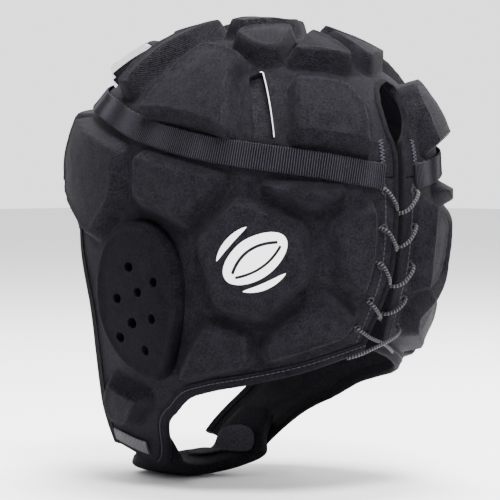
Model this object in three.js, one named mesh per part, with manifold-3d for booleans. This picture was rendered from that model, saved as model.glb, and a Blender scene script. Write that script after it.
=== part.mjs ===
// Rugby scrum cap: moulded foam side and crown panels, ear pads, crown band, bindings,
// rear lacing and a padded chin strap.
// Millimetres, +Z up. The wearer looks along -Y, and the wearer's left is +X.
// The origin is the inside of the cap at the top of the head.
import * as THREE from 'three';
import Module from 'manifold-3d';

const wasm = await Module();
wasm.setup();

// Head form: half length and half width at the widest level, the dome above it, the wall below it
const halfLength = 101;
const halfWidth = 82;
const domeHeight = 69.5;
const wallHeight = 110;
const planPower = 2.15;

// Walls and pads
const fabric = 2.5;
const padHeight = 8;
const crownPadHeight = 9.5;
const padBevel = 5.5;
const padCorner = 7;
const earPadHeight = 9;
const earPadHalfWidth = 28;
const earPadHalfHeight = 41;
const earHoleWidth = 4.2;
const earPadTaper = 0.1;

// Trims
const bandWidth = 13;
const bandThickness = 1.2;
const bandEnd = 7;
const hemWidth = 6;
const faceBindingWidth = 4.5;
const bindingThickness = 3.4;
const slitBindingWidth = 3;
const slitBindingThickness = 0.8;
const elasticWidth = 8;
const elasticThickness = 1.2;

// Chin strap and lacing
const strapWidth = 48;
const strapThickness = 8.5;
const strapDrop = 8;
const strapForward = 18;
const flapLean = 0.5;
const strapSeat = 0.6;
const patchThickness = 1.5;
const patchWidth = 27;
const laceWidth = 2;
const laceRise = 2.4;
const clearance = 0.3;

// Mesh steps
const padStep = 30;
const wideReach = 22;
const laceStep = 9;
const laceSides = 6;
const crownColumns = 28;
const crownRows = 6;
const bandSteps = 50;
const earPadSides = 16;
const earHoleSides = 5;

// A table with named columns becomes one object for each row
function table(columns, rows) {
  const names = columns.split(' ');
  return rows.map((row) => Object.fromEntries(names.map((name, i) => [name, row[i]])));
}

// Shares of the head form at depths below the widest level, the depth as a share of wallHeight
const profile = table('depth width back front', [
  [0.00, 1.000, 1.00, 1.00],
  [0.25, 1.000, 1.00, 1.03],
  [0.47, 0.985, 0.97, 1.10],
  [0.60, 0.965, 0.92, 1.17],
  [0.73, 0.935, 0.86, 1.23],
  [0.89, 0.870, 0.78, 1.27],
  [1.12, 0.740, 0.68, 1.29],
  [1.23, 0.660, 0.61, 1.28],
  [1.35, 0.570, 0.54, 1.24],
  [1.50, 0.480, 0.49, 1.18],
]);

// Places on the form are a turn in degrees, 0 at the back and 90 at the wearer's left ear, and a
// drop: 0 at the top of the head, 1 at the widest level, 2 one wallHeight below it.
// Middle of the seam between the crown and the side panels, under the band
const seam = table('turn drop', [
  [0, 1.040], [7, 1.035], [30, 0.985], [51, 0.945], [67, 0.910], [82, 0.860],
  [94, 0.805], [110, 0.725], [136, 0.655], [160, 0.615], [180, 0.605],
]);

// Ribs of a side panel, from the rear slit to the middle of the forehead
const ribs = table('top shoulderTurn shoulder waistTurn waist footTurn foot', [
  [0.9, 0.8, 1.300, 1.1, 1.56, 3.6, 1.800],
  [14, 13, 1.300, 13, 1.57, 15, 1.840],
  [30, 29, 1.300, 29, 1.60, 31, 1.895],
  [48, 47, 1.300, 47, 1.63, 51, 1.945],
  [68, 66, 1.300, 66, 1.66, 69, 1.985],
  [84, 82, 1.290, 81, 1.68, 83, 2.040],
  [97, 94, 1.280, 91, 1.70, 94, 2.165],
  [109, 106, 1.270, 99, 1.71, 102, 2.400],
  [124, 121, 1.265, 109, 1.73, 117, 2.345],
  [140, 138, 1.155, 0, 0, 0, 0],
  [160, 159, 1.120, 0, 0, 0, 0],
  [179.9, 179.9, 1.110, 0, 0, 0, 0],
]);
const hemRib = 7;
const flapRib = 8;
const ribSteps = 2;
const shoulderRows = 3;
const lowerRows = 7;

// Corners of the raised pads on a side panel
const sidePads = {
  logo: [[70, 1.32], [57, 1.13], [36, 1.25], [32, 1.47], [46, 1.68], [63, 1.63]],
  temple: [[90, 0.92], [60, 1.04], [73, 1.26], [90, 1.16]],
  brow: [[131, 0.76], [95, 0.90], [96, 1.15], [107, 1.34], [121, 1.21], [132, 1.11]],
  forehead: [[139, 0.75], [175, 0.70], [175, 1.05], [152, 1.07], [140, 1.09]],
  underBand: [[50, 1.07], [24, 1.08], [22, 1.11], [33, 1.18]],
  back: [[13, 1.14], [27, 1.25], [23, 1.50], [13, 1.57], [11, 1.43], [11, 1.21]],
  nape: [[27, 1.56], [12, 1.66], [16, 1.76], [43, 1.87], [46, 1.82], [44, 1.74]],
  lowSide: [[65, 1.68], [51, 1.74], [50, 1.89], [77, 1.97], [79, 1.94]],
  cheek: [[105, 1.98], [100, 2.03], [94, 2.06], [103, 2.22], [111, 2.20], [109, 2.05]],
};

// Corners of the raised pads on the left half of the crown
const crownPads = {
  rearLow: [[37, 0.60], [19, 0.64], [13.5, 0.93], [39, 0.88]],
  rearHigh: [[36, 0.48], [6, 0.52], [2, 0.48], [3, 0.33], [8, 0.28]],
  top: [[66, 0.33], [60, 0.25], [18, 0.23], [20, 0.29], [38, 0.45], [46, 0.47], [56, 0.42]],
  side: [[79, 0.38], [54, 0.48], [59, 0.60], [59, 0.84], [91, 0.74]],
  ridge: [[100, 0.66], [95, 0.30], [100, 0.13], [122, 0.12], [114, 0.30], [109, 0.64]],
  frontLow: [[131, 0.37], [176, 0.37], [175, 0.53], [131, 0.58]],
  frontHigh: [[134, 0.16], [170, 0.14], [176, 0.31], [142, 0.31]],
};

// The pad over the top of the head
const vertexPad = [
  [13, 0.17], [62, 0.20], [86, 0.19], [94, 0.09],
  [-94, 0.09], [-86, 0.19], [-62, 0.20], [-13, 0.17],
];

// Corners of the two vents that are cut through each half of the crown
const vents = {
  side: [[54, 0.55], [48, 0.52], [45, 0.87], [52, 0.87]],
  front: [[127, 0.38], [134.5, 0.37], [134.5, 0.58], [129, 0.59]],
};

// The rear slit in the crown, a lens that narrows to the lacing
const slit = table('drop middle half', [
  [0.575, -12.5, 0], [0.60, -10.5, 5], [0.63, -8.5, 6.5], [0.70, -5, 6.3], [0.77, -3, 5.3],
  [0.83, -1.2, 3.7], [0.88, 0, 1.5], [0.93, 0, 0.9], [1.10, 0, 0.9],
]);

// The ear pad: its middle, and the places of its holes as shares of its half width and height
const earMiddle = { turn: 88.5, drop: 1.605 };
const earHoles = table('across down', [
  [-0.12, -0.42], [0.45, -0.25], [0.05, -0.12], [-0.42, -0.03],
  [-0.15, 0.26], [0.35, 0.20], [-0.45, 0.44], [0.04, 0.58],
]);

// Eyelets of the lacing, the same on both sides of the slit
const eyelets = table('turn drop', [[6.5, 1.10], [6.5, 1.27], [6.5, 1.44], [7.5, 1.60], [9.5, 1.73]]);

// The elastic over the end of the left flap
const elasticRoute = table('turn drop', [[114.5, 2.285], [110, 2.310], [106, 2.330], [103, 2.340]]);

// Half widths of the chin strap and its patch at their stations, as shares of their widths
const strapShares = [0.30, 0.34, 0.38, 0.46, 0.5, 0.5, 0.48, 0.40, 0.34, 0.24];
const patchShares = [0.3, 0.5, 0.5, 0.32];

// Depths below the widest level between which the right flap comes to lean in
const leanStart = 1.05;
const leanEnd = 1.45;

const degree = Math.PI / 180;

// Smooth curve through one column of a table, looked up by another column
function along(rows, key, column, at) {
  let i = 0;
  while (i < rows.length - 2 && rows[i + 1][key] < at) i += 1;
  const [a, b] = [rows[i], rows[i + 1]];
  const before = rows[Math.max(i - 1, 0)];
  const after = rows[Math.min(i + 2, rows.length - 1)];
  const span = b[key] - a[key];
  const t = Math.min(Math.max((at - a[key]) / span, 0), 1);
  const slopeA = (b[column] - before[column]) / Math.max(b[key] - before[key], span);
  const slopeB = (after[column] - a[column]) / Math.max(after[key] - a[key], span);
  const [t2, t3] = [t * t, t * t * t];
  return (2 * t3 - 3 * t2 + 1) * a[column] + (t3 - 2 * t2 + t) * slopeA * span
    + (3 * t2 - 2 * t3) * b[column] + (t3 - t2) * slopeB * span;
}

function signedPower(value, power) {
  return Math.sign(value) * Math.abs(value) ** power;
}

// The right flap is drawn in towards the chin strap by this share of its width
function leaning(depth) {
  const t = Math.min(Math.max((depth - leanStart) / (leanEnd - leanStart), 0), 1);
  return 1 - flapLean * t * t * (3 - 2 * t);
}

// The inner surface of the cap at a turn and a drop
function formPoint(turn, drop) {
  const sine = signedPower(Math.sin(turn * degree), 2 / planPower);
  const cosine = signedPower(Math.cos(turn * degree), 2 / planPower);
  if (drop <= 1) {
    const rise = drop * Math.PI / 2;
    const reach = Math.sin(rise);
    const z = -domeHeight * (1 - Math.cos(rise));
    return new THREE.Vector3(halfWidth * reach * sine, halfLength * reach * cosine, z);
  }
  const depth = drop - 1;
  const width = along(profile, 'depth', 'width', depth) * (turn < 0 ? leaning(depth) : 1);
  const length = along(profile, 'depth', cosine > 0 ? 'back' : 'front', depth);
  const z = -domeHeight - depth * wallHeight;
  return new THREE.Vector3(halfWidth * width * sine, halfLength * length * cosine, z);
}

// Tangents of the form for one degree of turn and for a whole unit of drop, and the outward normal
function formFrame(spot) {
  const step = 0.004;
  const { turn, drop } = spot;
  const low = Math.max(drop, 0.02);
  const turnward = formPoint(turn + 1, low).sub(formPoint(turn - 1, low)).multiplyScalar(0.5);
  const downward = formPoint(turn, low + step).sub(formPoint(turn, low - step))
    .multiplyScalar(0.5 / step);
  const normal = new THREE.Vector3().crossVectors(turnward, downward).normalize();
  if (drop < 0.02) normal.set(0, 0, 1);
  return { turnward, downward, normal };
}

// A point at a height above the inner surface
function place(spot, height = 0) {
  return formPoint(spot.turn, spot.drop).addScaledVector(formFrame(spot).normal, height);
}

// The spot that lies a short way off along the surface
function shifted(spot, move) {
  const { turnward, downward } = formFrame(spot);
  const [tt, dd, td] = [turnward.lengthSq(), downward.lengthSq(), turnward.dot(downward)];
  const [mt, md] = [move.dot(turnward), move.dot(downward)];
  const scale = 1 / (tt * dd - td * td);
  return {
    turn: spot.turn + (mt * dd - md * td) * scale,
    drop: spot.drop + (md * tt - mt * td) * scale,
  };
}

// The spot of the dome above or below a point of its plan
function domeSpot(x, y) {
  const sine = Math.abs(x / halfWidth) ** planPower;
  const cosine = Math.abs(y / halfLength) ** planPower;
  const reach = (sine + cosine) ** (1 / planPower);
  const turn = Math.atan2(Math.sign(x) * Math.sqrt(sine), Math.sign(y) * Math.sqrt(cosine)) / degree;
  return { turn, drop: Math.asin(Math.min(reach, 1)) * 2 / Math.PI };
}

// The spot a share of the way from one spot to another, straight over the surface
function between(a, b, share) {
  if (Math.max(a.drop, b.drop) < 0.5) {
    const { x, y } = place(a).lerp(place(b), share);
    return domeSpot(x, y);
  }
  const guess = {
    turn: a.turn + (b.turn - a.turn) * share,
    drop: a.drop + (b.drop - a.drop) * share,
  };
  const target = place(a).lerp(place(b), share);
  return shifted(guess, target.sub(place(guess)));
}

function distance(a, b) {
  return place(a).distanceTo(place(b));
}

function mirrored(spots) {
  return spots.map(({ turn, drop }) => ({ turn: -turn, drop }));
}

function spotsOf(corners) {
  return corners.map(([turn, drop]) => ({ turn, drop }));
}

// A closed solid of points and triangles, turned so that its faces point out
function solid(points, faces) {
  let volume = 0;
  for (const [a, b, c] of faces) {
    volume += points[a].dot(new THREE.Vector3().crossVectors(points[b], points[c])) / 6;
  }
  const turned = volume < 0 ? faces.map(([a, b, c]) => [a, c, b]) : faces;
  return new wasm.Manifold(new wasm.Mesh({
    numProp: 3,
    vertProperties: new Float32Array(points.flatMap((point) => point.toArray())),
    triVerts: new Uint32Array(turned.flat()),
  }));
}

// A sheet of triangles on the form, made solid between two heights
function sheetSolid(spots, faces, low, high) {
  const count = spots.length;
  const points = [...spots.map((spot) => place(spot, high)), ...spots.map((spot) => place(spot, low))];
  const edges = new Set(faces.flatMap(([a, b, c]) => [`${a} ${b}`, `${b} ${c}`, `${c} ${a}`]));
  const all = [...faces];
  for (const [a, b, c] of faces) all.push([a + count, c + count, b + count]);
  for (const edge of edges) {
    const [a, b] = edge.split(' ').map(Number);
    if (!edges.has(`${b} ${a}`)) all.push([b, a, a + count], [b, a + count, b + count]);
  }
  return solid(points, all);
}

// A solid whose rings all have the same number of points, closed at both ends
function ringSolid(rings, startTip, endTip) {
  const size = rings[0].length;
  const points = [...rings.flat(), startTip, endTip];
  const faces = [];
  const [start, end] = [points.length - 2, points.length - 1];
  const last = (rings.length - 1) * size;
  for (let i = 0; i < size; i += 1) {
    const next = (i + 1) % size;
    for (let ring = 0; ring < last; ring += size) {
      const [a, b] = [ring + i, ring + next];
      faces.push([a, b, b + size], [a, b + size, a + size]);
    }
    faces.push([start, next, i], [end, last + i, last + next]);
  }
  return solid(points, faces);
}

// An outline with cut corners and short steps, so that it follows the form
function softOutline(corners, corner, step) {
  const count = corners.length;
  const outline = [];
  corners.forEach((spot, i) => {
    const previous = corners[(i + count - 1) % count];
    const next = corners[(i + 1) % count];
    const back = Math.min(corner / distance(spot, previous), 0.35);
    const ahead = Math.min(corner / distance(spot, next), 0.35);
    const after = between(spot, next, ahead);
    outline.push(between(spot, previous, back), after);
    const nextBack = Math.min(corner / distance(spot, next), 0.35);
    const far = between(next, spot, nextBack);
    const pieces = Math.max(Math.round(distance(after, far) / step), 1);
    for (let k = 1; k < pieces; k += 1) outline.push(between(after, far, k / pieces));
  });
  return outline;
}

// An outline moved sideways over the surface, inwards for a positive way
function inset(outline, way, closed = true) {
  const count = outline.length;
  const centre = middleOf(outline);
  return outline.map((spot, i) => {
    const previous = outline[closed ? (i + count - 1) % count : Math.max(i - 1, 0)];
    const next = outline[closed ? (i + 1) % count : Math.min(i + 1, count - 1)];
    const { normal } = formFrame(spot);
    const run = place(next).sub(place(previous)).normalize();
    const side = new THREE.Vector3().crossVectors(normal, run).normalize();
    if (closed && side.dot(place(centre).sub(place(spot))) < 0) side.negate();
    return shifted(spot, side.multiplyScalar(way));
  });
}

function middleOf(spots) {
  if (spots.every(({ drop }) => drop < 0.5)) {
    const sum = spots.reduce((total, spot) => total.add(place(spot)), new THREE.Vector3());
    return domeSpot(sum.x / spots.length, sum.y / spots.length);
  }
  const sum = spots.reduce((total, { turn, drop }) => [total[0] + turn, total[1] + drop], [0, 0]);
  return { turn: sum[0] / spots.length, drop: sum[1] / spots.length };
}

// A raised pad: bevelled sides and a slightly domed top
function padSolid(outline, low, base, high, bevel) {
  const centre = middleOf(outline);
  const top = inset(outline, bevel);
  const halfway = (ring) => ring.map((spot) => between(centre, spot, 0.5));
  const ring = (spots, height) => spots.map((spot) => place(spot, height));
  const rings = [ring(outline, low), ring(outline, base), ring(top, base + (high - base) * 0.9)];
  if (Math.max(...outline.map((spot) => distance(spot, centre))) > wideReach) {
    rings.unshift(ring(halfway(outline), low));
    rings.push(ring(halfway(top), high));
  }
  return ringSolid(rings, place(centre, low), place(centre, high));
}

function ringMiddle(ring) {
  return ring.reduce((sum, point) => sum.add(point), new THREE.Vector3()).divideScalar(ring.length);
}

// A flat strip along a path on the form
function ribbonSolid(path, width, low, high) {
  const rings = path.map((spot, i) => {
    const previous = path[Math.max(i - 1, 0)];
    const next = path[Math.min(i + 1, path.length - 1)];
    const { normal } = formFrame(spot);
    const run = place(next).sub(place(previous)).normalize();
    const side = new THREE.Vector3().crossVectors(normal, run).normalize().multiplyScalar(width / 2);
    const [bottom, top] = [place(spot, low), place(spot, high)];
    return [
      bottom.clone().sub(side), bottom.clone().add(side), top.clone().add(side), top.clone().sub(side),
    ];
  });
  return ringSolid(rings, ringMiddle(rings[0]), ringMiddle(rings[rings.length - 1]));
}

// A radial cutter through the walls
function cutter(outline, low, high) {
  const ring = (height) => outline.map((spot) => place(spot, height));
  const centre = middleOf(outline);
  return ringSolid([ring(low), ring(high)], place(centre, low), place(centre, high));
}

// The seam's drop at a turn, and a length over the dome as a share of drop
function seamDrop(turn) {
  return along(seam, 'turn', 'drop', Math.abs(turn));
}
const domeArc = Math.PI / 2 * Math.hypot(domeHeight, halfWidth) / Math.SQRT2;
const seamGap = clearance / domeArc;

// A spot of the side panel, by its place across the ribs and down them
function panelSpot(across, down) {
  const rows = ribs.map((rib, index) => ({ ...rib, index }));
  const lower = rows.slice(0, flapRib + 1);
  const pick = (table, column) => along(table, 'index', column, across);
  const top = pick(rows, 'top');
  const shoulderTable = across <= flapRib ? lower : rows.slice(flapRib);
  const stations = [
    { at: 0, turn: top, drop: seamDrop(top) + seamGap },
    { at: 1, turn: pick(shoulderTable, 'shoulderTurn'), drop: pick(shoulderTable, 'shoulder') },
  ];
  if (across <= flapRib) {
    stations.push({ at: 2, turn: pick(lower, 'waistTurn'), drop: pick(lower, 'waist') });
    stations.push({ at: 3, turn: pick(lower, 'footTurn'), drop: pick(lower, 'foot') });
  }
  return { turn: along(stations, 'at', 'turn', down), drop: along(stations, 'at', 'drop', down) };
}

// The side panel as a sheet: all rows as far as the flap, the upper rows across the forehead
function panelSheet() {
  const spots = [];
  const faces = [];
  const columns = (ribs.length - 1) * ribSteps;
  const flapColumn = flapRib * ribSteps;
  const downs = [];
  for (let i = 0; i <= shoulderRows; i += 1) downs.push(i / shoulderRows);
  for (let i = 1; i <= lowerRows; i += 1) downs.push(1 + 2 * i / lowerRows);
  const index = new Map();
  for (let column = 0; column <= columns; column += 1) {
    const rows = column <= flapColumn ? downs.length : shoulderRows + 1;
    for (let row = 0; row < rows; row += 1) {
      index.set(`${column} ${row}`, spots.length);
      spots.push(panelSpot(column / ribSteps, downs[row]));
    }
  }
  for (let column = 0; column < columns; column += 1) {
    const rows = column < flapColumn ? downs.length - 1 : shoulderRows;
    for (let row = 0; row < rows; row += 1) {
      const [a, b] = [index.get(`${column} ${row}`), index.get(`${column + 1} ${row}`)];
      const [c, d] = [index.get(`${column + 1} ${row + 1}`), index.get(`${column} ${row + 1}`)];
      faces.push([a, b, c], [a, c, d]);
    }
  }
  return { spots, faces };
}

// The same sheet on the other side of the cap
function otherSide({ spots, faces }) {
  return { spots: mirrored(spots), faces: faces.map(([a, b, c]) => [a, c, b]) };
}

// Forward and down over the ear
function earAxes() {
  const { turnward, downward } = formFrame(earMiddle);
  return [turnward.normalize(), downward.normalize()];
}

function earOutline() {
  const [across, down] = earAxes();
  const outline = [];
  for (let i = 0; i < earPadSides; i += 1) {
    const angle = 2 * Math.PI * i / earPadSides;
    const taper = 1 - earPadTaper * Math.sin(angle);
    const move = across.clone().multiplyScalar(earPadHalfWidth * taper * Math.cos(angle))
      .addScaledVector(down, earPadHalfHeight * Math.sin(angle));
    outline.push(shifted(earMiddle, move));
  }
  return outline;
}

function earHoleCutters(side) {
  const [across, down] = earAxes();
  return earHoles.map((hole) => {
    const move = across.clone().multiplyScalar(-hole.across * earPadHalfWidth)
      .addScaledVector(down, hole.down * earPadHalfHeight);
    const middle = shifted(earMiddle, move);
    const outline = [];
    for (let i = 0; i < earHoleSides; i += 1) {
      const angle = 2 * Math.PI * i / earHoleSides;
      const reach = across.clone().multiplyScalar(Math.cos(angle) * earHoleWidth / 2)
        .addScaledVector(down, Math.sin(angle) * earHoleWidth / 2);
      outline.push(shifted(middle, reach));
    }
    return cutter(sideOf(side, outline), -fabric, fabric + 2 * earPadHeight);
  });
}

function sideOf(side, spots) {
  return side < 0 ? mirrored(spots) : spots;
}

// Pads on a wall: each starts inside the wall, so that they are one moulded piece
function paddedWall({ spots, faces }, outlines, height) {
  const core = sheetSolid(spots, faces, -4 * fabric, fabric / 2);
  let wall = sheetSolid(spots, faces, 0, fabric);
  for (const outline of outlines) {
    const pad = padSolid(outline, -fabric, fabric, fabric + height, padBevel);
    wall = wall.add(pad.subtract(core));
  }
  return wall;
}

// A pad's foot: its corners give the middle of its bevel
function padOutline(corners, side) {
  const outline = softOutline(spotsOf(corners), padCorner, padStep);
  return sideOf(side, inset(outline, -padBevel / 2));
}

function sidePanel(side) {
  const sheet = side < 0 ? otherSide(panelSheet()) : panelSheet();
  const outlines = Object.values(sidePads).map((corners) => padOutline(corners, side));
  let panel = paddedWall(sheet, outlines, padHeight);
  for (const hole of earHoleCutters(side)) panel = panel.subtract(hole);
  return panel;
}

function earPad(side) {
  const sheet = side < 0 ? otherSide(panelSheet()) : panelSheet();
  const outline = sideOf(side, earOutline());
  const under = sheetSolid(sheet.spots, sheet.faces, -fabric, fabric + clearance);
  let pad = padSolid(outline, fabric / 2, fabric + earPadHeight / 3, fabric + earPadHeight, padBevel);
  pad = pad.subtract(under);
  for (const hole of earHoleCutters(side)) pad = pad.subtract(hole);
  return pad;
}

// The crown: rings from the top of the head down to the seam
function crownSheet() {
  const [columns, rows] = [crownColumns, crownRows];
  const spots = [{ turn: 0, drop: 0 }];
  const faces = [];
  for (let row = 1; row <= rows; row += 1) {
    for (let column = 0; column < columns; column += 1) {
      const turn = column * 360 / columns - 180;
      spots.push({ turn, drop: (seamDrop(turn) - seamGap) * row / rows });
    }
  }
  const at = (row, column) => 1 + (row - 1) * columns + column % columns;
  for (let column = 0; column < columns; column += 1) {
    faces.push([0, at(1, column), at(1, column + 1)]);
    for (let row = 1; row < rows; row += 1) {
      const [a, b] = [at(row, column), at(row, column + 1)];
      const [c, d] = [at(row + 1, column + 1), at(row + 1, column)];
      faces.push([a, c, b], [a, d, c]);
    }
  }
  return { spots, faces };
}

function slitOutline() {
  const left = slit.map(({ drop, middle, half }) => ({ turn: middle + half, drop }));
  const right = slit.slice(1).map(({ drop, middle, half }) => ({ turn: middle - half, drop }));
  return [...left, ...right.reverse()];
}

function crownPanel() {
  const outlines = [1, -1].flatMap((side) => Object.values(crownPads)
    .map((corners) => padOutline(corners, side)));
  outlines.push(padOutline(vertexPad, 1));
  let panel = paddedWall(crownSheet(), outlines, crownPadHeight);
  for (const side of [1, -1]) {
    for (const corners of Object.values(vents)) {
      panel = panel.subtract(cutter(sideOf(side, spotsOf(corners)), -padHeight, 2 * padHeight));
    }
  }
  return panel.subtract(cutter(slitOutline(), -padHeight, 2 * padHeight));
}

// The webbing over the seam, from one side of the rear slit round the forehead to the other
function crownBand() {
  const path = [];
  for (let i = 0; i <= bandSteps; i += 1) {
    const turn = bandEnd + (360 - 2 * bandEnd) * i / bandSteps;
    path.push({ turn, drop: seamDrop(turn > 180 ? 360 - turn : turn) });
  }
  const base = fabric + 2 * clearance;
  return ribbonSolid(path, bandWidth, base, base + bandThickness);
}

// A row of spots along an edge of the side panel, moved out to the middle of its binding
function edgePath(places, side, width) {
  const edge = places.map(([across, down]) => panelSpot(across, down));
  return sideOf(side, inset(edge, width / 2 + clearance, false));
}

function binding(path, width, thickness) {
  return ribbonSolid(path, width, fabric / 2 - thickness / 2, fabric / 2 + thickness / 2);
}

function hemBinding(side) {
  const places = [];
  for (let column = 0; column <= hemRib * ribSteps; column += 1) places.push([column / ribSteps, 3]);
  return binding(edgePath(places, side, hemWidth), hemWidth, bindingThickness);
}

function faceBinding() {
  const places = [];
  for (let row = lowerRows; row > 0; row -= 1) places.push([flapRib, 1 + 2 * row / lowerRows]);
  for (let column = flapRib * ribSteps; column <= (ribs.length - 1) * ribSteps; column += 1) {
    places.push([column / ribSteps, 1]);
  }
  const left = edgePath(places, 1, faceBindingWidth);
  const right = mirrored(left).reverse().map(({ turn, drop }) => ({ turn: turn + 360, drop }));
  return binding([...left, ...right.slice(1)], faceBindingWidth, bindingThickness);
}

function slitBinding() {
  const rear = [3, 2.6, 2.2, 1.8, 1.4, 1, 0.6, 0.2].map((down) => panelSpot(0, down));
  const lens = slit.slice(1, -1).reverse();
  const lip = (way) => lens.map(({ drop, middle, half }) => ({ turn: middle + way * half, drop }));
  const tip = { turn: slit[0].middle, drop: slit[0].drop };
  const left = [...rear, ...lip(1)];
  const right = [...mirrored(rear), ...lip(-1)];
  const path = [...left, tip, ...right.reverse()];
  const base = fabric + 3 * clearance;
  const moved = inset(path, slitBindingWidth / 2, false);
  return ribbonSolid(moved, slitBindingWidth, base, base + slitBindingThickness);
}

// The light elastic that is sewn over the end of the left flap
function cheekElastic() {
  const base = fabric + 3 * clearance;
  return ribbonSolid(elasticRoute, elasticWidth, base, base + elasticThickness);
}

// Stations of the chin strap: inside the left flap, under the chin, inside the right flap
function strapStations() {
  const near = [2.28, 2.36, 2.43].map((drop) => ({ turn: 107, drop }));
  const far = [2.43, 2.36, 2.27].map((drop) => ({ turn: -103, drop }));
  const height = -clearance - strapSeat - strapThickness / 2;
  const station = (spot) => {
    const across = formFrame(spot).turnward.normalize().multiplyScalar(-Math.sign(spot.turn));
    const beside = (aside) => shifted(spot, across.clone().multiplyScalar(aside));
    const at = (aside, inward) => place(beside(aside), height - inward);
    return { point: place(spot, height), across, at };
  };
  const start = station(near[2]);
  const end = station(far[0]);
  const free = [0.15, 0.38, 0.62, 0.85].map((share) => {
    const point = start.point.clone().lerp(end.point, share);
    const bow = Math.sin(Math.PI * share) ** 0.8;
    point.z -= strapDrop * bow;
    point.y -= strapForward * bow;
    return { point, across: start.across.clone().lerp(end.across, share).normalize() };
  });
  return [...near.map(station), ...free, ...far.map(station)];
}

// A padded strap along stations, with soft edges
function strapSolid(stations, halfWidths, low, high) {
  const edge = (high - low) / 3;
  const rings = stations.map(({ point, across, at }, i) => {
    const next = stations[Math.min(i + 1, stations.length - 1)].point;
    const run = next.clone().sub(stations[Math.max(i - 1, 0)].point).normalize();
    const inward = new THREE.Vector3().crossVectors(across, run).normalize();
    const half = halfWidths[i];
    const corner = (aside, height) => (at ? at(aside, height)
      : point.clone().addScaledVector(across, aside).addScaledVector(inward, height));
    return [
      corner(edge - half, low), corner(half - edge, low),
      corner(half, low + edge), corner(half, high - edge),
      corner(half - edge, high), corner(edge - half, high),
      corner(-half, high - edge), corner(-half, low + edge),
    ];
  });
  return ringSolid(rings, ringMiddle(rings[0]), ringMiddle(rings[rings.length - 1]));
}

function chinStrap() {
  const halves = strapShares.map((share) => share * strapWidth);
  return strapSolid(strapStations(), halves, -strapThickness / 2, strapThickness / 2);
}

function loopPatch() {
  const stations = strapStations().slice(6, 10);
  const halves = patchShares.map((share) => share * patchWidth);
  const low = strapThickness / 2 + clearance;
  return strapSolid(stations, halves, low, low + patchThickness - clearance);
}

// The lace: up one way between the eyelets, across the top and down the other way
function rearLace() {
  const radius = laceWidth / 2;
  const low = fabric + clearance + radius;
  const over = low + slitBindingThickness + laceRise;
  const strand = (first, height) => eyelets.flatMap(({ turn, drop }, i) => {
    const side = i % 2 ? -first : first;
    const next = eyelets[i + 1];
    const eyelet = place({ turn: side * turn, drop }, low);
    return next ? [eyelet, place({ turn: 0, drop: (drop + next.drop) / 2 }, height)] : [eyelet];
  });
  const top = place({ turn: 0, drop: eyelets[0].drop }, over);
  const route = [...strand(1, over).reverse(), top, ...strand(-1, over + laceWidth + 2 * clearance)];
  const curve = new THREE.CatmullRomCurve3(route, false, 'centripetal');
  const shape = new THREE.Shape();
  shape.absarc(0, 0, radius, 0, 2 * Math.PI);
  return new THREE.ExtrudeGeometry(shape, {
    steps: Math.round(curve.getLength() / laceStep),
    extrudePath: curve,
    curveSegments: laceSides / 2,
    bevelEnabled: false,
  });
}

function geometryOf(manifold) {
  const mesh = manifold.getMesh();
  const geometry = new THREE.BufferGeometry();
  geometry.setAttribute('position', new THREE.BufferAttribute(new Float32Array(mesh.vertProperties), 3));
  geometry.setIndex(new THREE.BufferAttribute(new Uint32Array(mesh.triVerts), 1));
  return geometry;
}

function material(color, roughness) {
  return new THREE.MeshStandardMaterial({ color, roughness, metalness: 0 });
}

const fabricBlack = material(0x2a292e, 0.75);
const webbingBlack = material(0x3c3a42, 0.6);
const bindingBlack = material(0x35333b, 0.7);
const elasticGrey = material(0x77757f, 0.6);
const loopBlack = material(0x2e2d33, 0.9);
const laceBlack = material(0x38363d, 0.6);

const scrumCap = new THREE.Group();

function addPiece(name, shape, finish) {
  const geometry = shape.isBufferGeometry ? shape : geometryOf(shape);
  const mesh = new THREE.Mesh(geometry, finish);
  mesh.name = name;
  scrumCap.add(mesh);
}

addPiece('crown_panel', crownPanel(), fabricBlack);
for (const [side, name] of [[1, 'left'], [-1, 'right']]) {
  addPiece(`side_panel_${name}`, sidePanel(side), fabricBlack);
  addPiece(`ear_pad_${name}`, earPad(side), fabricBlack);
  addPiece(`hem_binding_${name}`, hemBinding(side), bindingBlack);
}
addPiece('face_binding', faceBinding(), bindingBlack);
addPiece('slit_binding', slitBinding(), bindingBlack);
addPiece('crown_band', crownBand(), webbingBlack);
addPiece('cheek_elastic', cheekElastic(), elasticGrey);
addPiece('chin_strap', chinStrap(), fabricBlack);
addPiece('strap_loop_patch', loopPatch(), loopBlack);
addPiece('rear_lace', rearLace(), laceBlack);

export default scrumCap;
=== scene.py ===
"""Rugby scrum cap: padded crown and sides, ear pads, webbing, bindings, lacing and chin strap.

Sizes in the tables are millimetres on the head form, and every mesh is made in metres.
A place on the form is a turn in degrees (0 at the back, 90 at the wearer's left ear) and a
drop (0 at the top of the head, 1 at the widest level, 2 one wall height below it).
"""
import math

import bpy
import numpy as np
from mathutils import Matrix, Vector
from mathutils.geometry import delaunay_2d_cdt


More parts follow.
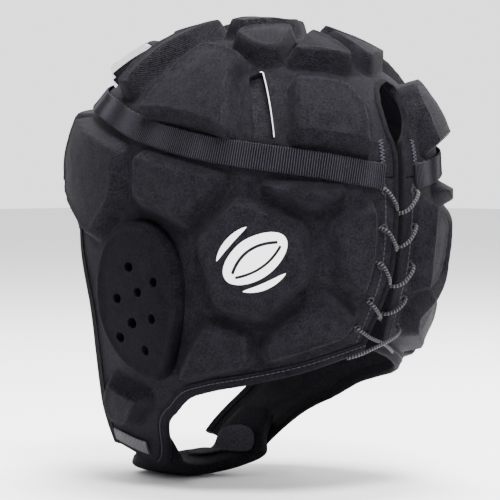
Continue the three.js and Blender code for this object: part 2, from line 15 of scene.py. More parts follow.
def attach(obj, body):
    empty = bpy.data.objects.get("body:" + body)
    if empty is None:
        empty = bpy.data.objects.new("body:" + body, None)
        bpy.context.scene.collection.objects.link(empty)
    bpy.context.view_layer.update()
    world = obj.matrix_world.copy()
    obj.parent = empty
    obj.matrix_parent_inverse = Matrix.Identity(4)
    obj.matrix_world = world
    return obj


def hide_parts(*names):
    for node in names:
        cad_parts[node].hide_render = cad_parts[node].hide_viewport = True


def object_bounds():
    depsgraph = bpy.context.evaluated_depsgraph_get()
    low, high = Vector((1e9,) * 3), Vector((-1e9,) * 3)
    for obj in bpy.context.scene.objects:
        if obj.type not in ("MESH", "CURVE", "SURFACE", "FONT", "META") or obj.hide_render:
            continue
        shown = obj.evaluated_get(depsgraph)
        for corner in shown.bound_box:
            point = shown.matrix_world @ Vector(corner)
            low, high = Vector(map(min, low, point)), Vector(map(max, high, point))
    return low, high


bl_info = {
    "name": "Scrum cap",
    "version": (1, 0, 0),
    "blender": (4, 5, 0),
    "location": "View3D > Sidebar > Scrum cap",
    "description": "Builds a padded rugby scrum cap piece by piece",
    "category": "Object",
}

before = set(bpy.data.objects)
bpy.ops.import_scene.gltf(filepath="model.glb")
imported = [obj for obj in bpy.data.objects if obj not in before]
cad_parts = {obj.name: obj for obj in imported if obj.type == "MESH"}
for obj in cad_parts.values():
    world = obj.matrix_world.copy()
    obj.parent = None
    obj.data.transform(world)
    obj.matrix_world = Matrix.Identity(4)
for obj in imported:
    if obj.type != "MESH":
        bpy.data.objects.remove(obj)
CAD_BOX = [list(corner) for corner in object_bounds()]
MM = 0.001
FULL_TURN = 2 * math.pi

# The head form
HALF_LENGTH, HALF_WIDTH = 101.0, 82.0
DOME_HEIGHT, WALL_HEIGHT = 69.5, 110.0
PLAN_POWER = 2.15
FLAP_LEAN, LEAN_START, LEAN_END = 0.5, 1.05, 1.45

# Depth below the widest level as a share of the wall height, and shares of width, back, front
PROFILE = np.array([
    [0.00, 1.000, 1.00, 1.00],
    [0.25, 1.000, 1.00, 1.03],
    [0.47, 0.985, 0.97, 1.10],
    [0.60, 0.965, 0.92, 1.17],
    [0.73, 0.935, 0.86, 1.23],
    [0.89, 0.870, 0.78, 1.27],
    [1.12, 0.740, 0.68, 1.29],
    [1.23, 0.660, 0.61, 1.28],
    [1.35, 0.570, 0.54, 1.24],
    [1.50, 0.480, 0.49, 1.18],
])

# The seam between crown and sides: turn, drop
SEAM = np.array([
    [0, 1.040], [7, 1.035], [30, 0.985], [51, 0.945], [67, 0.910], [82, 0.860],
    [94, 0.805], [110, 0.725], [136, 0.655], [160, 0.615], [180, 0.605],
])
SEAM_GAP = 0.0025

# Ribs of a side panel: turn at the seam, then turn and drop at shoulder, waist and foot
RIBS = np.array([
    [0.9, 0.8, 1.300, 1.1, 1.56, 3.6, 1.800],
    [14, 13, 1.300, 13, 1.57, 15, 1.840],
    [30, 29, 1.300, 29, 1.60, 31, 1.895],
    [48, 47, 1.300, 47, 1.63, 51, 1.945],
    [68, 66, 1.300, 66, 1.66, 69, 1.985],
    [84, 82, 1.290, 81, 1.68, 83, 2.040],
    [97, 94, 1.280, 91, 1.70, 94, 2.165],
    [109, 106, 1.270, 99, 1.71, 102, 2.400],
    [124, 121, 1.265, 109, 1.73, 117, 2.345],
    [140, 138, 1.155, 0, 0, 0, 0],
    [160, 159, 1.120, 0, 0, 0, 0],
    [179.9, 179.9, 1.110, 0, 0, 0, 0],
])
HEM_RIB, FLAP_RIB, LAST_RIB = 7, 8, 11

# Corners of the raised pads: each outline runs along the middle of the pad's bevel
SIDE_PADS = [
    [[70, 1.32], [57, 1.13], [36, 1.25], [32, 1.47], [46, 1.68], [63, 1.63]],
    [[90, 0.92], [60, 1.04], [73, 1.26], [90, 1.16]],
    [[131, 0.76], [95, 0.90], [96, 1.15], [107, 1.34], [121, 1.21], [132, 1.11]],
    [[139, 0.75], [175, 0.70], [175, 1.05], [152, 1.07], [140, 1.09]],
    [[50, 1.07], [24, 1.08], [22, 1.11], [33, 1.18]],
    [[13, 1.14], [27, 1.25], [23, 1.50], [13, 1.57], [11, 1.43], [11, 1.21]],
    [[27, 1.56], [12, 1.66], [16, 1.76], [43, 1.87], [46, 1.82], [44, 1.74]],
    [[65, 1.68], [51, 1.74], [50, 1.89], [77, 1.97], [79, 1.94]],
    [[105, 1.98], [100, 2.03], [94, 2.06], [103, 2.22], [111, 2.20], [109, 2.05]],
]
CROWN_PADS = [
    [[37, 0.60], [15, 0.64], [12, 0.75], [13.5, 0.93], [39, 0.88]],
    [[36, 0.48], [6, 0.52], [2, 0.48], [3, 0.33], [8, 0.28]],
    [[66, 0.33], [60, 0.25], [18, 0.23], [20, 0.29], [38, 0.45], [46, 0.47], [56, 0.42]],
    [[79, 0.38], [54, 0.48], [59, 0.60], [59, 0.875], [91, 0.775]],
    [[100, 0.66], [95, 0.30], [100, 0.13], [122, 0.12], [114, 0.30], [109, 0.64]],
    [[131, 0.37], [176, 0.37], [175, 0.53], [131, 0.58]],
    [[134, 0.16], [170, 0.14], [176, 0.31], [142, 0.31]],
    [[13, 0.17], [62, 0.20], [86, 0.19], [94, 0.09],
     [-94, 0.09], [-86, 0.19], [-62, 0.20], [-13, 0.17]],
]
VENTS = [
    [[54, 0.55], [48, 0.52], [45, 0.87], [52, 0.87]],
    [[127, 0.38], [134.5, 0.37], [134.5, 0.58], [129, 0.59]],
]

# The rear slit in the crown: drop, middle and half width in degrees of turn
SLIT = np.array([
    [0.575, -12.5, 0.0], [0.60, -10.5, 5.0], [0.63, -8.5, 6.5], [0.70, -5, 6.3],
    [0.77, -3, 5.3], [0.83, -1.2, 3.7], [0.88, 0, 1.5], [0.93, 0, 0.9], [1.10, 0, 0.9],
])
EAR_MIDDLE = (88.5, 1.605)
EAR_HOLES = [
    (-0.12, -0.42), (0.45, -0.25), (0.05, -0.12), (-0.42, -0.03),
    (-0.15, 0.26), (0.35, 0.20), (-0.45, 0.44), (0.04, 0.58),
]
EYELETS = np.array([[6.5, 1.10], [6.5, 1.27], [6.5, 1.44], [7.5, 1.60], [9.5, 1.73]])
ELASTIC_ROUTE = np.array([[114.5, 2.285], [110, 2.310], [106, 2.330], [103, 2.340]])
STRAP_SHARES = [0.30, 0.34, 0.38, 0.46, 0.5, 0.5, 0.48, 0.40, 0.34, 0.24]
PATCH_SHARES = [0.3, 0.5, 0.5, 0.32]

# Widths, lengths and thicknesses in millimetres
UPPER_PANEL, LOWER_PANEL = 46, 88
CROWN_ROUND, CROWN_DOWN = 520, 122
SIDE_CHART, CROWN_CHART = (1.5, 110), 130
LINING_SHARE = 0.09
FOLDS = ((0.16, 26.0), (0.07, 9.0))
FOAM_SHOWN = 3.2
EAR_HALF_WIDTH, EAR_HALF_LENGTH, EAR_TAPER = 28, 41, 0.1
HEM_TAPE_WIDTH, FACE_TAPE_WIDTH, TAPE_THICKNESS = 6.0, 4.5, 3.4
STRAP_WIDTH, STRAP_THICKNESS, PATCH_WIDTH = 48.0, 8.5, 27.0
EYELET_RADIUS, EYELET_THREAD = 1.7, 0.55
LACE_COLOUR = (0.022, 0.021, 0.024)
MOTIF_MIDDLE, BALL_HALF_SIZE = (50.2, 1.395), (17.0, 10.0)


def smooth_step(value):
    t = np.clip(value, 0, 1)
    return t * t * (3 - 2 * t)


def signed_power(value, power):
    return np.sign(value) * np.abs(value) ** power


def cubic(a, slope_a, b, slope_b, t, span):
    t2, t3 = t * t, t * t * t
    return ((2 * t3 - 3 * t2 + 1) * a + (t3 - 2 * t2 + t) * slope_a * span
            + (3 * t2 - 2 * t3) * b + (t3 - t2) * slope_b * span)


def along(keys, values, at):
    """Smooth curve through one column of a table."""
    at = np.asarray(at, float)
    last = len(keys) - 1
    i = np.clip(np.searchsorted(keys, at, side="left") - 1, 0, last - 1)
    before, after = np.maximum(i - 1, 0), np.minimum(i + 2, last)
    span = keys[i + 1] - keys[i]
    t = np.clip((at - keys[i]) / span, 0, 1)
    slope_a = (values[i + 1] - values[before]) / np.maximum(keys[i + 1] - keys[before], span)
    slope_b = (values[after] - values[i]) / np.maximum(keys[after] - keys[i], span)
    return cubic(values[i], slope_a, values[i + 1], slope_b, t, span)


def form_point(turn, drop):
    """The inner surface of the cap, in millimetres."""
    turn, drop = np.broadcast_arrays(np.asarray(turn, float), np.asarray(drop, float))
    angle = np.radians(turn)
    sine = signed_power(np.sin(angle), 2 / PLAN_POWER)
    cosine = signed_power(np.cos(angle), 2 / PLAN_POWER)
    rise = np.clip(drop, 0, 1) * math.pi / 2
    depth = np.maximum(drop - 1, 0)
    lean = 1 - FLAP_LEAN * smooth_step((depth - LEAN_START) / (LEAN_END - LEAN_START))
    width = along(PROFILE[:, 0], PROFILE[:, 1], depth) * np.where(turn < 0, lean, 1)
    back = along(PROFILE[:, 0], PROFILE[:, 2], depth)
    front = along(PROFILE[:, 0], PROFILE[:, 3], depth)
    reach = np.sin(rise)
    x = HALF_WIDTH * np.where(drop <= 1, reach, width) * sine
    y = HALF_LENGTH * np.where(drop <= 1, reach, np.where(cosine > 0, back, front)) * cosine
    z = -DOME_HEIGHT * (1 - np.cos(rise)) - depth * WALL_HEIGHT
    return np.stack([x, y, z], -1)


def unit(vectors):
    return vectors / np.maximum(np.linalg.norm(vectors, axis=-1, keepdims=True), 1e-12)


def form_frame(turn, drop):
    """Tangents for one degree of turn and one unit of drop, and the outward normal."""
    step = 0.004
    low = np.maximum(drop, 0.02)
    turnward = (form_point(turn + 1, low) - form_point(turn - 1, low)) / 2
    downward = (form_point(turn, low + step) - form_point(turn, low - step)) / (2 * step)
    normal = unit(np.cross(turnward, downward))
    top = np.asarray(drop < 0.02)[..., None]
    return turnward, downward, np.where(top, [0.0, 0.0, 1.0], normal)


def place(turn, drop, height=0.0):
    turn, drop = np.asarray(turn, float), np.asarray(drop, float)
    normal = form_frame(turn, drop)[2]
    return form_point(turn, drop) + normal * np.asarray(height, float)[..., None]


def shifted(turn, drop, move):
    """The spots a short way off along the surface."""
    turnward, downward, _ = form_frame(turn, drop)
    tt, dd = (turnward ** 2).sum(-1), (downward ** 2).sum(-1)
    td = (turnward * downward).sum(-1)
    mt, md = (move * turnward).sum(-1), (move * downward).sum(-1)
    scale = 1 / (tt * dd - td * td)
    return turn + (mt * dd - md * td) * scale, drop + (md * tt - mt * td) * scale


def wrap(turn):
    """Turns past the front, counted from the other side."""
    return np.where(turn > 180, turn - 360, turn)


def seam_drop(turn):
    return along(SEAM[:, 0], SEAM[:, 1], np.abs(turn))


def panel_spots(across, down):
    """Spots of a side panel by their place across the ribs and down them."""
    across, down = np.broadcast_arrays(np.asarray(across, float), np.asarray(down, float))
    index = np.arange(len(RIBS), dtype=float)
    lower, upper = slice(0, FLAP_RIB + 1), slice(FLAP_RIB, LAST_RIB + 1)
    rear = across <= FLAP_RIB

    def pick(column):
        near = along(index[lower], RIBS[lower, column], across)
        return np.where(rear, near, along(index[upper], RIBS[upper, column], across))

    top = along(index, RIBS[:, 0], across)
    turns = np.stack([top, pick(1), pick(3), pick(5)])
    drops = np.stack([seam_drop(top) + SEAM_GAP, pick(2), pick(4), pick(6)])

    def down_ribs(values):
        i = np.clip(np.ceil(down).astype(int) - 1, 0, 2)
        take = lambda k: np.take_along_axis(values, k[None], 0)[0]
        a, b = take(i), take(i + 1)
        before, after = take(np.maximum(i - 1, 0)), take(np.minimum(i + 2, 3))
        slope_a = (b - before) / np.where(i > 0, 2, 1)
        slope_b = (after - a) / np.where(i < 2, 2, 1)
        curved = cubic(a, slope_a, b, slope_b, down - i, 1)
        straight = values[0] + (values[1] - values[0]) * down
        return np.where(rear, curved, straight)

    return down_ribs(turns), down_ribs(drops)


# Flat charts, about a millimetre to the unit, in which pad outlines are drawn
def side_chart(turn, drop):
    return np.stack([np.asarray(turn) * SIDE_CHART[0], np.asarray(drop) * SIDE_CHART[1]], -1)


def side_unchart(points):
    return points[..., 0] / SIDE_CHART[0], points[..., 1] / SIDE_CHART[1]


def crown_chart(turn, drop):
    angle = np.radians(turn)
    reach = np.asarray(drop)[..., None] * CROWN_CHART
    return reach * np.stack([np.sin(angle), np.cos(angle)], -1)


def crown_unchart(points):
    turn = np.degrees(np.arctan2(points[..., 0], points[..., 1]))
    return turn, np.linalg.norm(points, axis=-1) / CROWN_CHART


def soft_outline(corners, corner, step=1.5):
    """A closed outline with rounded corners, drawn in a chart."""
    count = len(corners)
    points = []
    for i in range(count):
        here, ahead, behind = corners[i], corners[(i + 1) % count], corners[i - 1]
        back = min(corner / np.linalg.norm(behind - here), 0.42)
        on = min(corner / np.linalg.norm(ahead - here), 0.42)
        start, end = here + (behind - here) * back, here + (ahead - here) * on
        for t in np.linspace(0, 1, 7):
            points.append((1 - t) ** 2 * start + 2 * t * (1 - t) * here + t * t * end)
        far = ahead + (here - ahead) * on
        pieces = max(int(np.linalg.norm(far - end) / step), 1)
        for k in range(1, pieces):
            points.append(end + (far - end) * k / pieces)
    return np.array(points)


def inside(polygon, points):
    x, y = points[:, 0], points[:, 1]
    found = np.zeros(len(points), bool)
    for (x1, y1), (x2, y2) in zip(polygon, np.roll(polygon, -1, 0)):
        if y1 == y2:
            continue
        crosses = (y1 > y) != (y2 > y)
        found ^= crosses & (x < (x2 - x1) * (y - y1) / (y2 - y1) + x1)
    return found


def distance_to_line(points, line):
    """Distance to a closed line."""
    best = np.full(len(points), 1e9)
    for a, b in zip(line, np.roll(line, -1, 0)):
        run = b - a
        t = np.clip((points - a) @ run / max(run @ run, 1e-12), 0, 1)
        best = np.minimum(best, np.linalg.norm(points - a - t[:, None] * run, axis=1))
    return best


class Relief:
    """Height of the padding above the fabric, anywhere on a panel."""
    softness = 0.075
    crest, crest_reach = 0.09, 26
    # shares of the height, then place and spread as shares of the bevel
    lip, lip_at, lip_spread = 0.085, 0.62, 0.32
    groove, groove_at, groove_spread = 0.07, -0.75, 0.4

    def __init__(self, pads, chart, unchart, height, bevel, corner):
        self.chart, self.height, self.bevel = chart, height, bevel
        self.outlines = []
        for corners in pads:
            corners = np.array(corners, float)
            outline = soft_outline(chart(corners[:, 0], corners[:, 1]), corner)
            self.outlines.append((outline, form_point(*unchart(outline))))

    def field(self, index, turn, drop):
        """Distance inside a pad's outline, in millimetres."""
        outline, line = self.outlines[index]
        flat = self.chart(turn, drop)
        reach = 3 * self.bevel
        low, high = outline.min(0) - reach, outline.max(0) + reach
        near = ((flat > low) & (flat < high)).all(-1)
        found = np.full(len(turn), -1e3)
        if near.any():
            away = distance_to_line(form_point(turn[near], drop[near]), line)
            found[near] = np.where(inside(outline, flat[near]), away, -away)
        return found

    def hump(self, distance, at, spread):
        return np.exp(-((distance - at * self.bevel) / (spread * self.bevel)) ** 2)

    def __call__(self, turn, drop):
        turn, drop = np.broadcast_arrays(np.asarray(turn, float), np.asarray(drop, float))
        shape = turn.shape
        turn = np.abs((turn.ravel() + 180) % 360 - 180)
        drop = drop.ravel()
        best = np.zeros(len(turn))
        nearest = np.full(len(turn), -99.0)
        for index in range(len(self.outlines)):
            d = self.field(index, turn, drop)
            rise = (1 - self.crest) * ramp(d / self.bevel + 0.5, self.softness)
            crest = self.crest * smooth_step(d / self.crest_reach)
            lip = self.lip * self.hump(d, self.lip_at, self.lip_spread)
            best = np.maximum(best, self.height * (rise + crest + lip))
            nearest = np.maximum(nearest, d)
        groove = self.groove * self.hump(nearest, self.groove_at, self.groove_spread)
        return (best - self.height * groove).reshape(shape)


def ramp(t, soft):
    """A straight rise from 0 to 1 whose two ends are rounded."""
    t = np.clip(t, -3, 4)
    return soft * (np.logaddexp(0, t / soft) - np.logaddexp(0, (t - 1) / soft))


def noise(points, seed, size, waves=14):
    """Soft waves in many directions, the same on every run."""
    source = np.random.default_rng(seed)
    total = np.zeros(points.shape[:-1])
    for _ in range(waves):
        direction = unit(source.normal(size=3))
        pitch = size * source.uniform(0.6, 1.8)
        total += np.sin(points @ direction * FULL_TURN / pitch + source.uniform(0, 6.28))
    return total / waves ** 0.5


# Mesh making

def new_piece(name, points, faces, materials, uv=None, face_materials=None):
    mesh = bpy.data.meshes.new(name)
    mesh.from_pydata((np.asarray(points) * MM).tolist(), [], [list(map(int, f)) for f in faces])
    piece = bpy.data.objects.new(name, mesh)
    bpy.context.scene.collection.objects.link(piece)
    for material in materials:
        mesh.materials.append(material)
    if face_materials is not None:
        mesh.polygons.foreach_set("material_index", np.asarray(face_materials, np.int32))
    if uv is not None:
        layer = mesh.uv_layers.new(name="cloth")
        corners = np.empty(len(mesh.loops), np.int32)
        mesh.loops.foreach_get("vertex_index", corners)
        layer.data.foreach_set("uv", (np.asarray(uv) * MM)[corners].astype(np.float32).ravel())
    mesh.update()
    return piece


def only(piece):
    bpy.ops.object.select_all(action="DESELECT")
    piece.select_set(True)
    bpy.context.view_layer.objects.active = piece


def face_out(piece):
    only(piece)
    bpy.ops.object.mode_set(mode="EDIT")
    bpy.ops.mesh.select_all(action="SELECT")
    bpy.ops.mesh.normals_make_consistent(inside=False)
    bpy.ops.object.mode_set(mode="OBJECT")


def finish_piece(piece, nodes=(), angle=50.0):
    only(piece)
    bpy.ops.object.shade_smooth_by_angle(angle=math.radians(angle))
    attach(piece, "root")
    if nodes:
        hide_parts(*nodes)
    return piece


def closed_faces(quads, count):
    """Faces of a shell: the sheet, the sheet under it, and the rim between them."""
    quads = np.asarray(quads)
    under = quads[:, ::-1] + count
    edges = np.concatenate([quads[:, [0, 1]], quads[:, [1, 2]], quads[:, [2, 3]], quads[:, [3, 0]]])
    code = edges[:, 0] * count + edges[:, 1]
    back = edges[:, 1] * count + edges[:, 0]
    rim = edges[~np.isin(code, back)]
    walls = np.stack([rim[:, 1], rim[:, 0], rim[:, 0] + count, rim[:, 1] + count], -1)
    return np.concatenate([quads, under, walls])


def tube(rings):
    """Points and faces of a closed-ended tube through rings of points."""
    count, size = rings.shape[:2]
    faces = []
    for here in range(0, (count - 1) * size, size):
        for i in range(size):
            j = (i + 1) % size
            faces.append((here + i, here + j, here + size + j, here + size + i))
    points = np.concatenate([rings.reshape(-1, 3), rings[:1].mean(1), rings[-1:].mean(1)])
    start, end = count * size, count * size + 1
    for i in range(size):
        j = (i + 1) % size
        faces.append((start, j, i))
        faces.append((end, (count - 1) * size + i, (count - 1) * size + j))
    return points, faces


def tube_uv(rings):
    """Length along a tube and length round it, in millimetres."""
    step = np.linalg.norm(np.diff(rings.mean(1), axis=0), axis=1)
    far = np.concatenate([[0], np.cumsum(step)])
    around = np.linalg.norm(np.diff(rings[0], axis=0, append=rings[0][:1]), axis=1)
    round_it = np.concatenate([[0], np.cumsum(around)[:-1]])
    uv = np.stack(np.broadcast_arrays(far[:, None], round_it[None]), -1).reshape(-1, 2)
    return np.concatenate([uv, [[0, 0], [far[-1], 0]]])


def tube_piece(name, rings, material, nodes=(), angle=60, mapped=True):
    """A finished piece made of one tube."""
    points, faces = tube(rings)
    piece = new_piece(name, points, faces, [material], tube_uv(rings) if mapped else None)
    face_out(piece)
    return finish_piece(piece, nodes, angle)


def even_steps(points, step):
    """Length along a line at its points, and at places an even step apart."""
    length = np.concatenate([[0], np.cumsum(np.linalg.norm(np.diff(points, axis=0), axis=1))])
    return length, np.linspace(0, length[-1], max(int(round(length[-1] / step)), 2) + 1)


def even_line(points, step):
    """The same line with points an even step apart."""
    length, at = even_steps(points, step)
    return np.stack([np.interp(at, length, points[:, k]) for k in range(points.shape[1])], -1)


def smooth_line(points, per_span=12):
    """A smooth line through points."""
    points = np.asarray(points, float)
    keys = np.concatenate([[0], np.cumsum(np.linalg.norm(np.diff(points, axis=0), axis=1) ** 0.5)])
    at = np.concatenate([np.linspace(a, b, per_span, endpoint=False)
                         for a, b in zip(keys[:-1], keys[1:])] + [[keys[-1]]])
    return np.stack([along(keys, points[:, k], at) for k in range(points.shape[1])], -1)


def spot_line(turn, drop, step):
    """Spots an even step apart over the form."""
    length, at = even_steps(place(turn, drop), step)
    return np.interp(at, length, turn), np.interp(at, length, drop)


def line_frames(turn, drop):
    """Points of a line on the form, the directions to its side, and its normals."""
    points = form_point(turn, drop)
    normals = form_frame(turn, drop)[2]
    run = unit(np.gradient(points, axis=0))
    return points, unit(np.cross(normals, run)), normals


def strip_profile(width, low, high, steps=5, crown=0.25):
    """Cross-section of a flat strip with soft edges."""
    half = width / 2
    edge = min((high - low) / 2, half * 0.5)
    reach, middle = half - edge * 0.6, (low + high) / 2
    top = [(x, high - crown * (2 * x / width) ** 4) for x in np.linspace(reach, -reach, steps)]
    bottom = [(x, low + 0.1 * crown) for x in np.linspace(-reach, reach, steps)]
    return ([(half, middle - edge * 0.3), (half, middle + edge * 0.3)] + top
            + [(-half, middle + edge * 0.3), (-half, middle - edge * 0.3)] + bottom)


# Materials

class Nodes:
    """A material's node tree and the few calls that the finishes use."""

    def __init__(self, name):
        old = bpy.data.materials.get(name)
        if old:
            bpy.data.materials.remove(old)
        self.material = bpy.data.materials.new(name)
        self.material.use_nodes = True
        self.tree = self.material.node_tree
        self.shader = self.tree.nodes["Principled BSDF"]

    def add(self, kind, inputs=None, **settings):
        node = self.tree.nodes.new(kind)
        for key, value in settings.items():
            setattr(node, key, value)
        for key, value in (inputs or {}).items():
            if isinstance(value, bpy.types.NodeSocket):
                self.tree.links.new(value, node.inputs[key])
            else:
                node.inputs[key].default_value = value
        return node

    def math(self, operation, a, b=0.0):
        return self.add("ShaderNodeMath", {0: a, 1: b}, operation=operation).outputs[0]

    def weigh(self, *pairs):
        """The sum of values, each times its share."""
        total = None
        for value, share in pairs:
            part = value if share == 1 else self.math("MULTIPLY", value, share)
            total = part if total is None else self.math("ADD", total, part)
        return total

    def waves(self, value, pitch):
        return self.math("SINE", self.math("MULTIPLY", value, FULL_TURN / pitch))

    def mix(self, share, a, b):
        node = self.add("ShaderNodeMix", data_type="RGBA")
        for key, value in (("Factor", share), ("A", a), ("B", b)):
            socket = next(s for s in node.inputs if s.name == key and s.type in ("VALUE", "RGBA")
                          and (key == "Factor" or s.type == "RGBA"))
            if isinstance(value, bpy.types.NodeSocket):
                self.tree.links.new(value, socket)
            else:
                socket.default_value = value
        return next(s for s in node.outputs if s.type == "RGBA")

    def ramp(self, value, low, high):
        return self.add("ShaderNodeMapRange", {0: value, 1: low, 2: high}).outputs[0]

    def place(self, kind="Object"):
        return self.add("ShaderNodeTexCoord").outputs[kind]

    def cloth_map(self):
        """The two lengths of the piece's own map."""
        return self.add("ShaderNodeSeparateXYZ", {0: self.place("UV")}).outputs

    def noise(self, vector, scale, detail=3.0, roughness=0.5):
        inputs = {"Vector": vector, "Scale": scale, "Detail": detail, "Roughness": roughness}
        return self.add("ShaderNodeTexNoise", inputs).outputs[0]

    def bump(self, height, strength, distance, normal=None):
        inputs = {"Height": height, "Strength": strength, "Distance": distance}
        if normal is not None:
            inputs["Normal"] = normal
        return self.add("ShaderNodeBump", inputs).outputs[0]

    def set(self, **values):
        for key, value in values.items():
            socket = self.shader.inputs[key.replace("_", " ").title().replace("Ior", "IOR")]
            if isinstance(value, bpy.types.NodeSocket):
                self.tree.links.new(value, socket)
            else:
                socket.default_value = value
        return self.material


def shade(color, share):
    return (color[0] * share, color[1] * share, color[2] * share, 1.0)


def knit_finish(name, color, pitch=0.0009, relief=0.0007, roughness=0.52, sheen=0.008):
    """Close knitted stretch cloth: fine wales and courses, soft mottling and a low sheen."""
    nodes = Nodes(name)
    across, along_it = nodes.cloth_map()[:2]
    loops = nodes.math("MULTIPLY", nodes.waves(across, pitch), nodes.waves(along_it, pitch / 1.2))
    where = nodes.place()
    fuzz = nodes.noise(where, 950.0, 4.0, 0.75)
    mottle = nodes.noise(where, 160.0, 4.0, 0.6)
    broad = nodes.noise(where, 22.0, 3.0)
    height = nodes.weigh((loops, 0.5), (fuzz, 1.6))
    soft = nodes.bump(broad, 0.3, 0.0014)
    fine = nodes.bump(height, 0.8, relief, soft)
    tone = nodes.weigh((fuzz, 0.75), (mottle, 0.25))
    worn = nodes.mix(nodes.ramp(tone, 0.40, 0.60), shade(color, 0.40), shade(color, 1.65))
    rough = nodes.math("ADD", nodes.math("MULTIPLY", nodes.ramp(mottle, 0.2, 0.9), 0.12),
                       roughness - 0.06)
    return nodes.set(
        base_color=worn, roughness=rough, normal=fine, sheen_weight=sheen, sheen_roughness=0.38,
        sheen_tint=(0.80, 0.78, 0.86, 1.0), specular_ior_level=0.02,
    )


def rib_finish(name, color, pitch, lit_crest_share, roughness=0.5, sheen=0.05):
    """Woven tape ribbed at an even pitch along one direction of its own map; painted highlight on
    crests, painted shade between.
    """
    nodes = Nodes(name)
    along_it, across = nodes.cloth_map()[:2]
    rib, thread = nodes.waves(along_it, pitch), nodes.waves(across, pitch / 1.6)
    fuzz = nodes.noise(nodes.place(), 1300.0, 2.0)
    fine = nodes.bump(nodes.weigh((rib, 1.6), (thread, 0.35), (fuzz, 1)), 0.9, 0.0003)
    # the rib wave lightens the colour on each crest and darkens it between the ribs: painted
    # highlight and painted shade; the fuzz adds random grain
    tone = nodes.weigh((rib, 0.45), (fuzz, 0.8))
    crest_lit_colour = nodes.mix(nodes.ramp(tone, 0.1, 0.8), shade(color, 0.55), shade(color, lit_crest_share))
    return nodes.set(
        base_color=crest_lit_colour, roughness=roughness, normal=fine, sheen_weight=sheen,
        sheen_roughness=0.4, sheen_tint=(0.85, 0.84, 0.9, 1.0), specular_ior_level=0.03,
    )


def cord_finish(name, color):
    """Twisted cord whose twist winds round it, with painted highlight on each crest and painted
    shade in the grooves.
    """
    nodes = Nodes(name)
    along_it, around = nodes.cloth_map()[:2]
    wind = nodes.weigh((along_it, FULL_TURN / 0.0016), (around, FULL_TURN / 0.0063))
    yarn = nodes.math("SINE", wind)
    fuzz = nodes.noise(nodes.place(), 2200.0, 2.0)
    fine = nodes.bump(nodes.weigh((yarn, 1), (fuzz, 0.6)), 0.8, 0.00025)
    # the twist's wave paints its crests light and its grooves dark: painted highlight and painted
    # shade
    crest_lit_colour = nodes.mix(nodes.ramp(yarn, 0.1, 0.9), shade(color, 0.35), shade(color, 3.2))
    return nodes.set(base_color=crest_lit_colour, roughness=0.55, normal=fine, sheen_weight=0.04,
                     specular_ior_level=0.12)


def foam_finish(name, color):
    """Cut foam: fine open cells."""
    nodes = Nodes(name)
    inputs = {"Vector": nodes.place(), "Scale": 1800.0}
    cells = nodes.add("ShaderNodeTexVoronoi", inputs).outputs[0]
    fine = nodes.bump(cells, 0.5, 0.0002)
    tone = nodes.mix(nodes.ramp(cells, 0.0, 0.6), shade(color, 0.8), shade(color, 1.05))
    return nodes.set(base_color=tone, roughness=0.85, normal=fine, specular_ior_level=0.3)


def loop_finish(name, color):
    """Brushed loop pile."""
    nodes = Nodes(name)
    tufts = nodes.noise(nodes.place(), 1100.0, 5.0, 0.75)
    fine = nodes.bump(tufts, 1.0, 0.0007)
    tone = nodes.mix(nodes.ramp(tufts, 0.35, 0.72), shade(color, 0.6), shade(color, 6.0))
    return nodes.set(base_color=tone, roughness=0.9, normal=fine, sheen_weight=0.06,
                     specular_ior_level=0.05, sheen_roughness=0.5)


def print_finish(name, color):
    """Printed ink that lies on the cloth and takes on its knit."""
    nodes = Nodes(name)
    grain = nodes.noise(nodes.place(), 1500.0, 2.0)
    tone = nodes.mix(nodes.ramp(grain, 0.25, 0.5), shade(color, 0.93), shade(color, 1.0))
    return nodes.set(base_color=tone, roughness=0.5, normal=nodes.bump(grain, 0.3, 0.00008))


class ScrumCapSizes(bpy.types.PropertyGroup):
    fabric: bpy.props.FloatProperty(
        name="Fabric", description="Thickness of the fused fabric between the pads",
        default=0.0025, unit="LENGTH")
    pad_height: bpy.props.FloatProperty(
        name="Pad height", description="Rise of the foam pads over the fabric",
        default=0.008, unit="LENGTH")
    crown_pad_height: bpy.props.FloatProperty(
        name="Crown pad height", description="Rise of the crown's pads over the fabric",
        default=0.0095, unit="LENGTH")
    pad_bevel: bpy.props.FloatProperty(
        name="Pad bevel", description="Width of a pad's sloping side",
        default=0.0045, unit="LENGTH")
    pad_corner: bpy.props.FloatProperty(
        name="Pad corner", description="Length of a pad's rounded corner",
        default=0.0055, unit="LENGTH")
    step: bpy.props.FloatProperty(
        name="Mesh step", description="Distance between the points of the padded panels",
        default=0.00125, unit="LENGTH")
    ear_height: bpy.props.FloatProperty(
        name="Ear pad height", description="Rise of the ear pads over the fabric",
        default=0.009, unit="LENGTH")
    ear_hole: bpy.props.FloatProperty(
        name="Ear hole", description="Width of a hole in an ear pad",
        default=0.0050, unit="LENGTH")
    webbing_width: bpy.props.FloatProperty(
        name="Webbing width", description="Width of the webbing round the crown",
        default=0.013, unit="LENGTH")
    lace_width: bpy.props.FloatProperty(
        name="Lace width", description="Width of the lacing cord",
        default=0.002, unit="LENGTH")


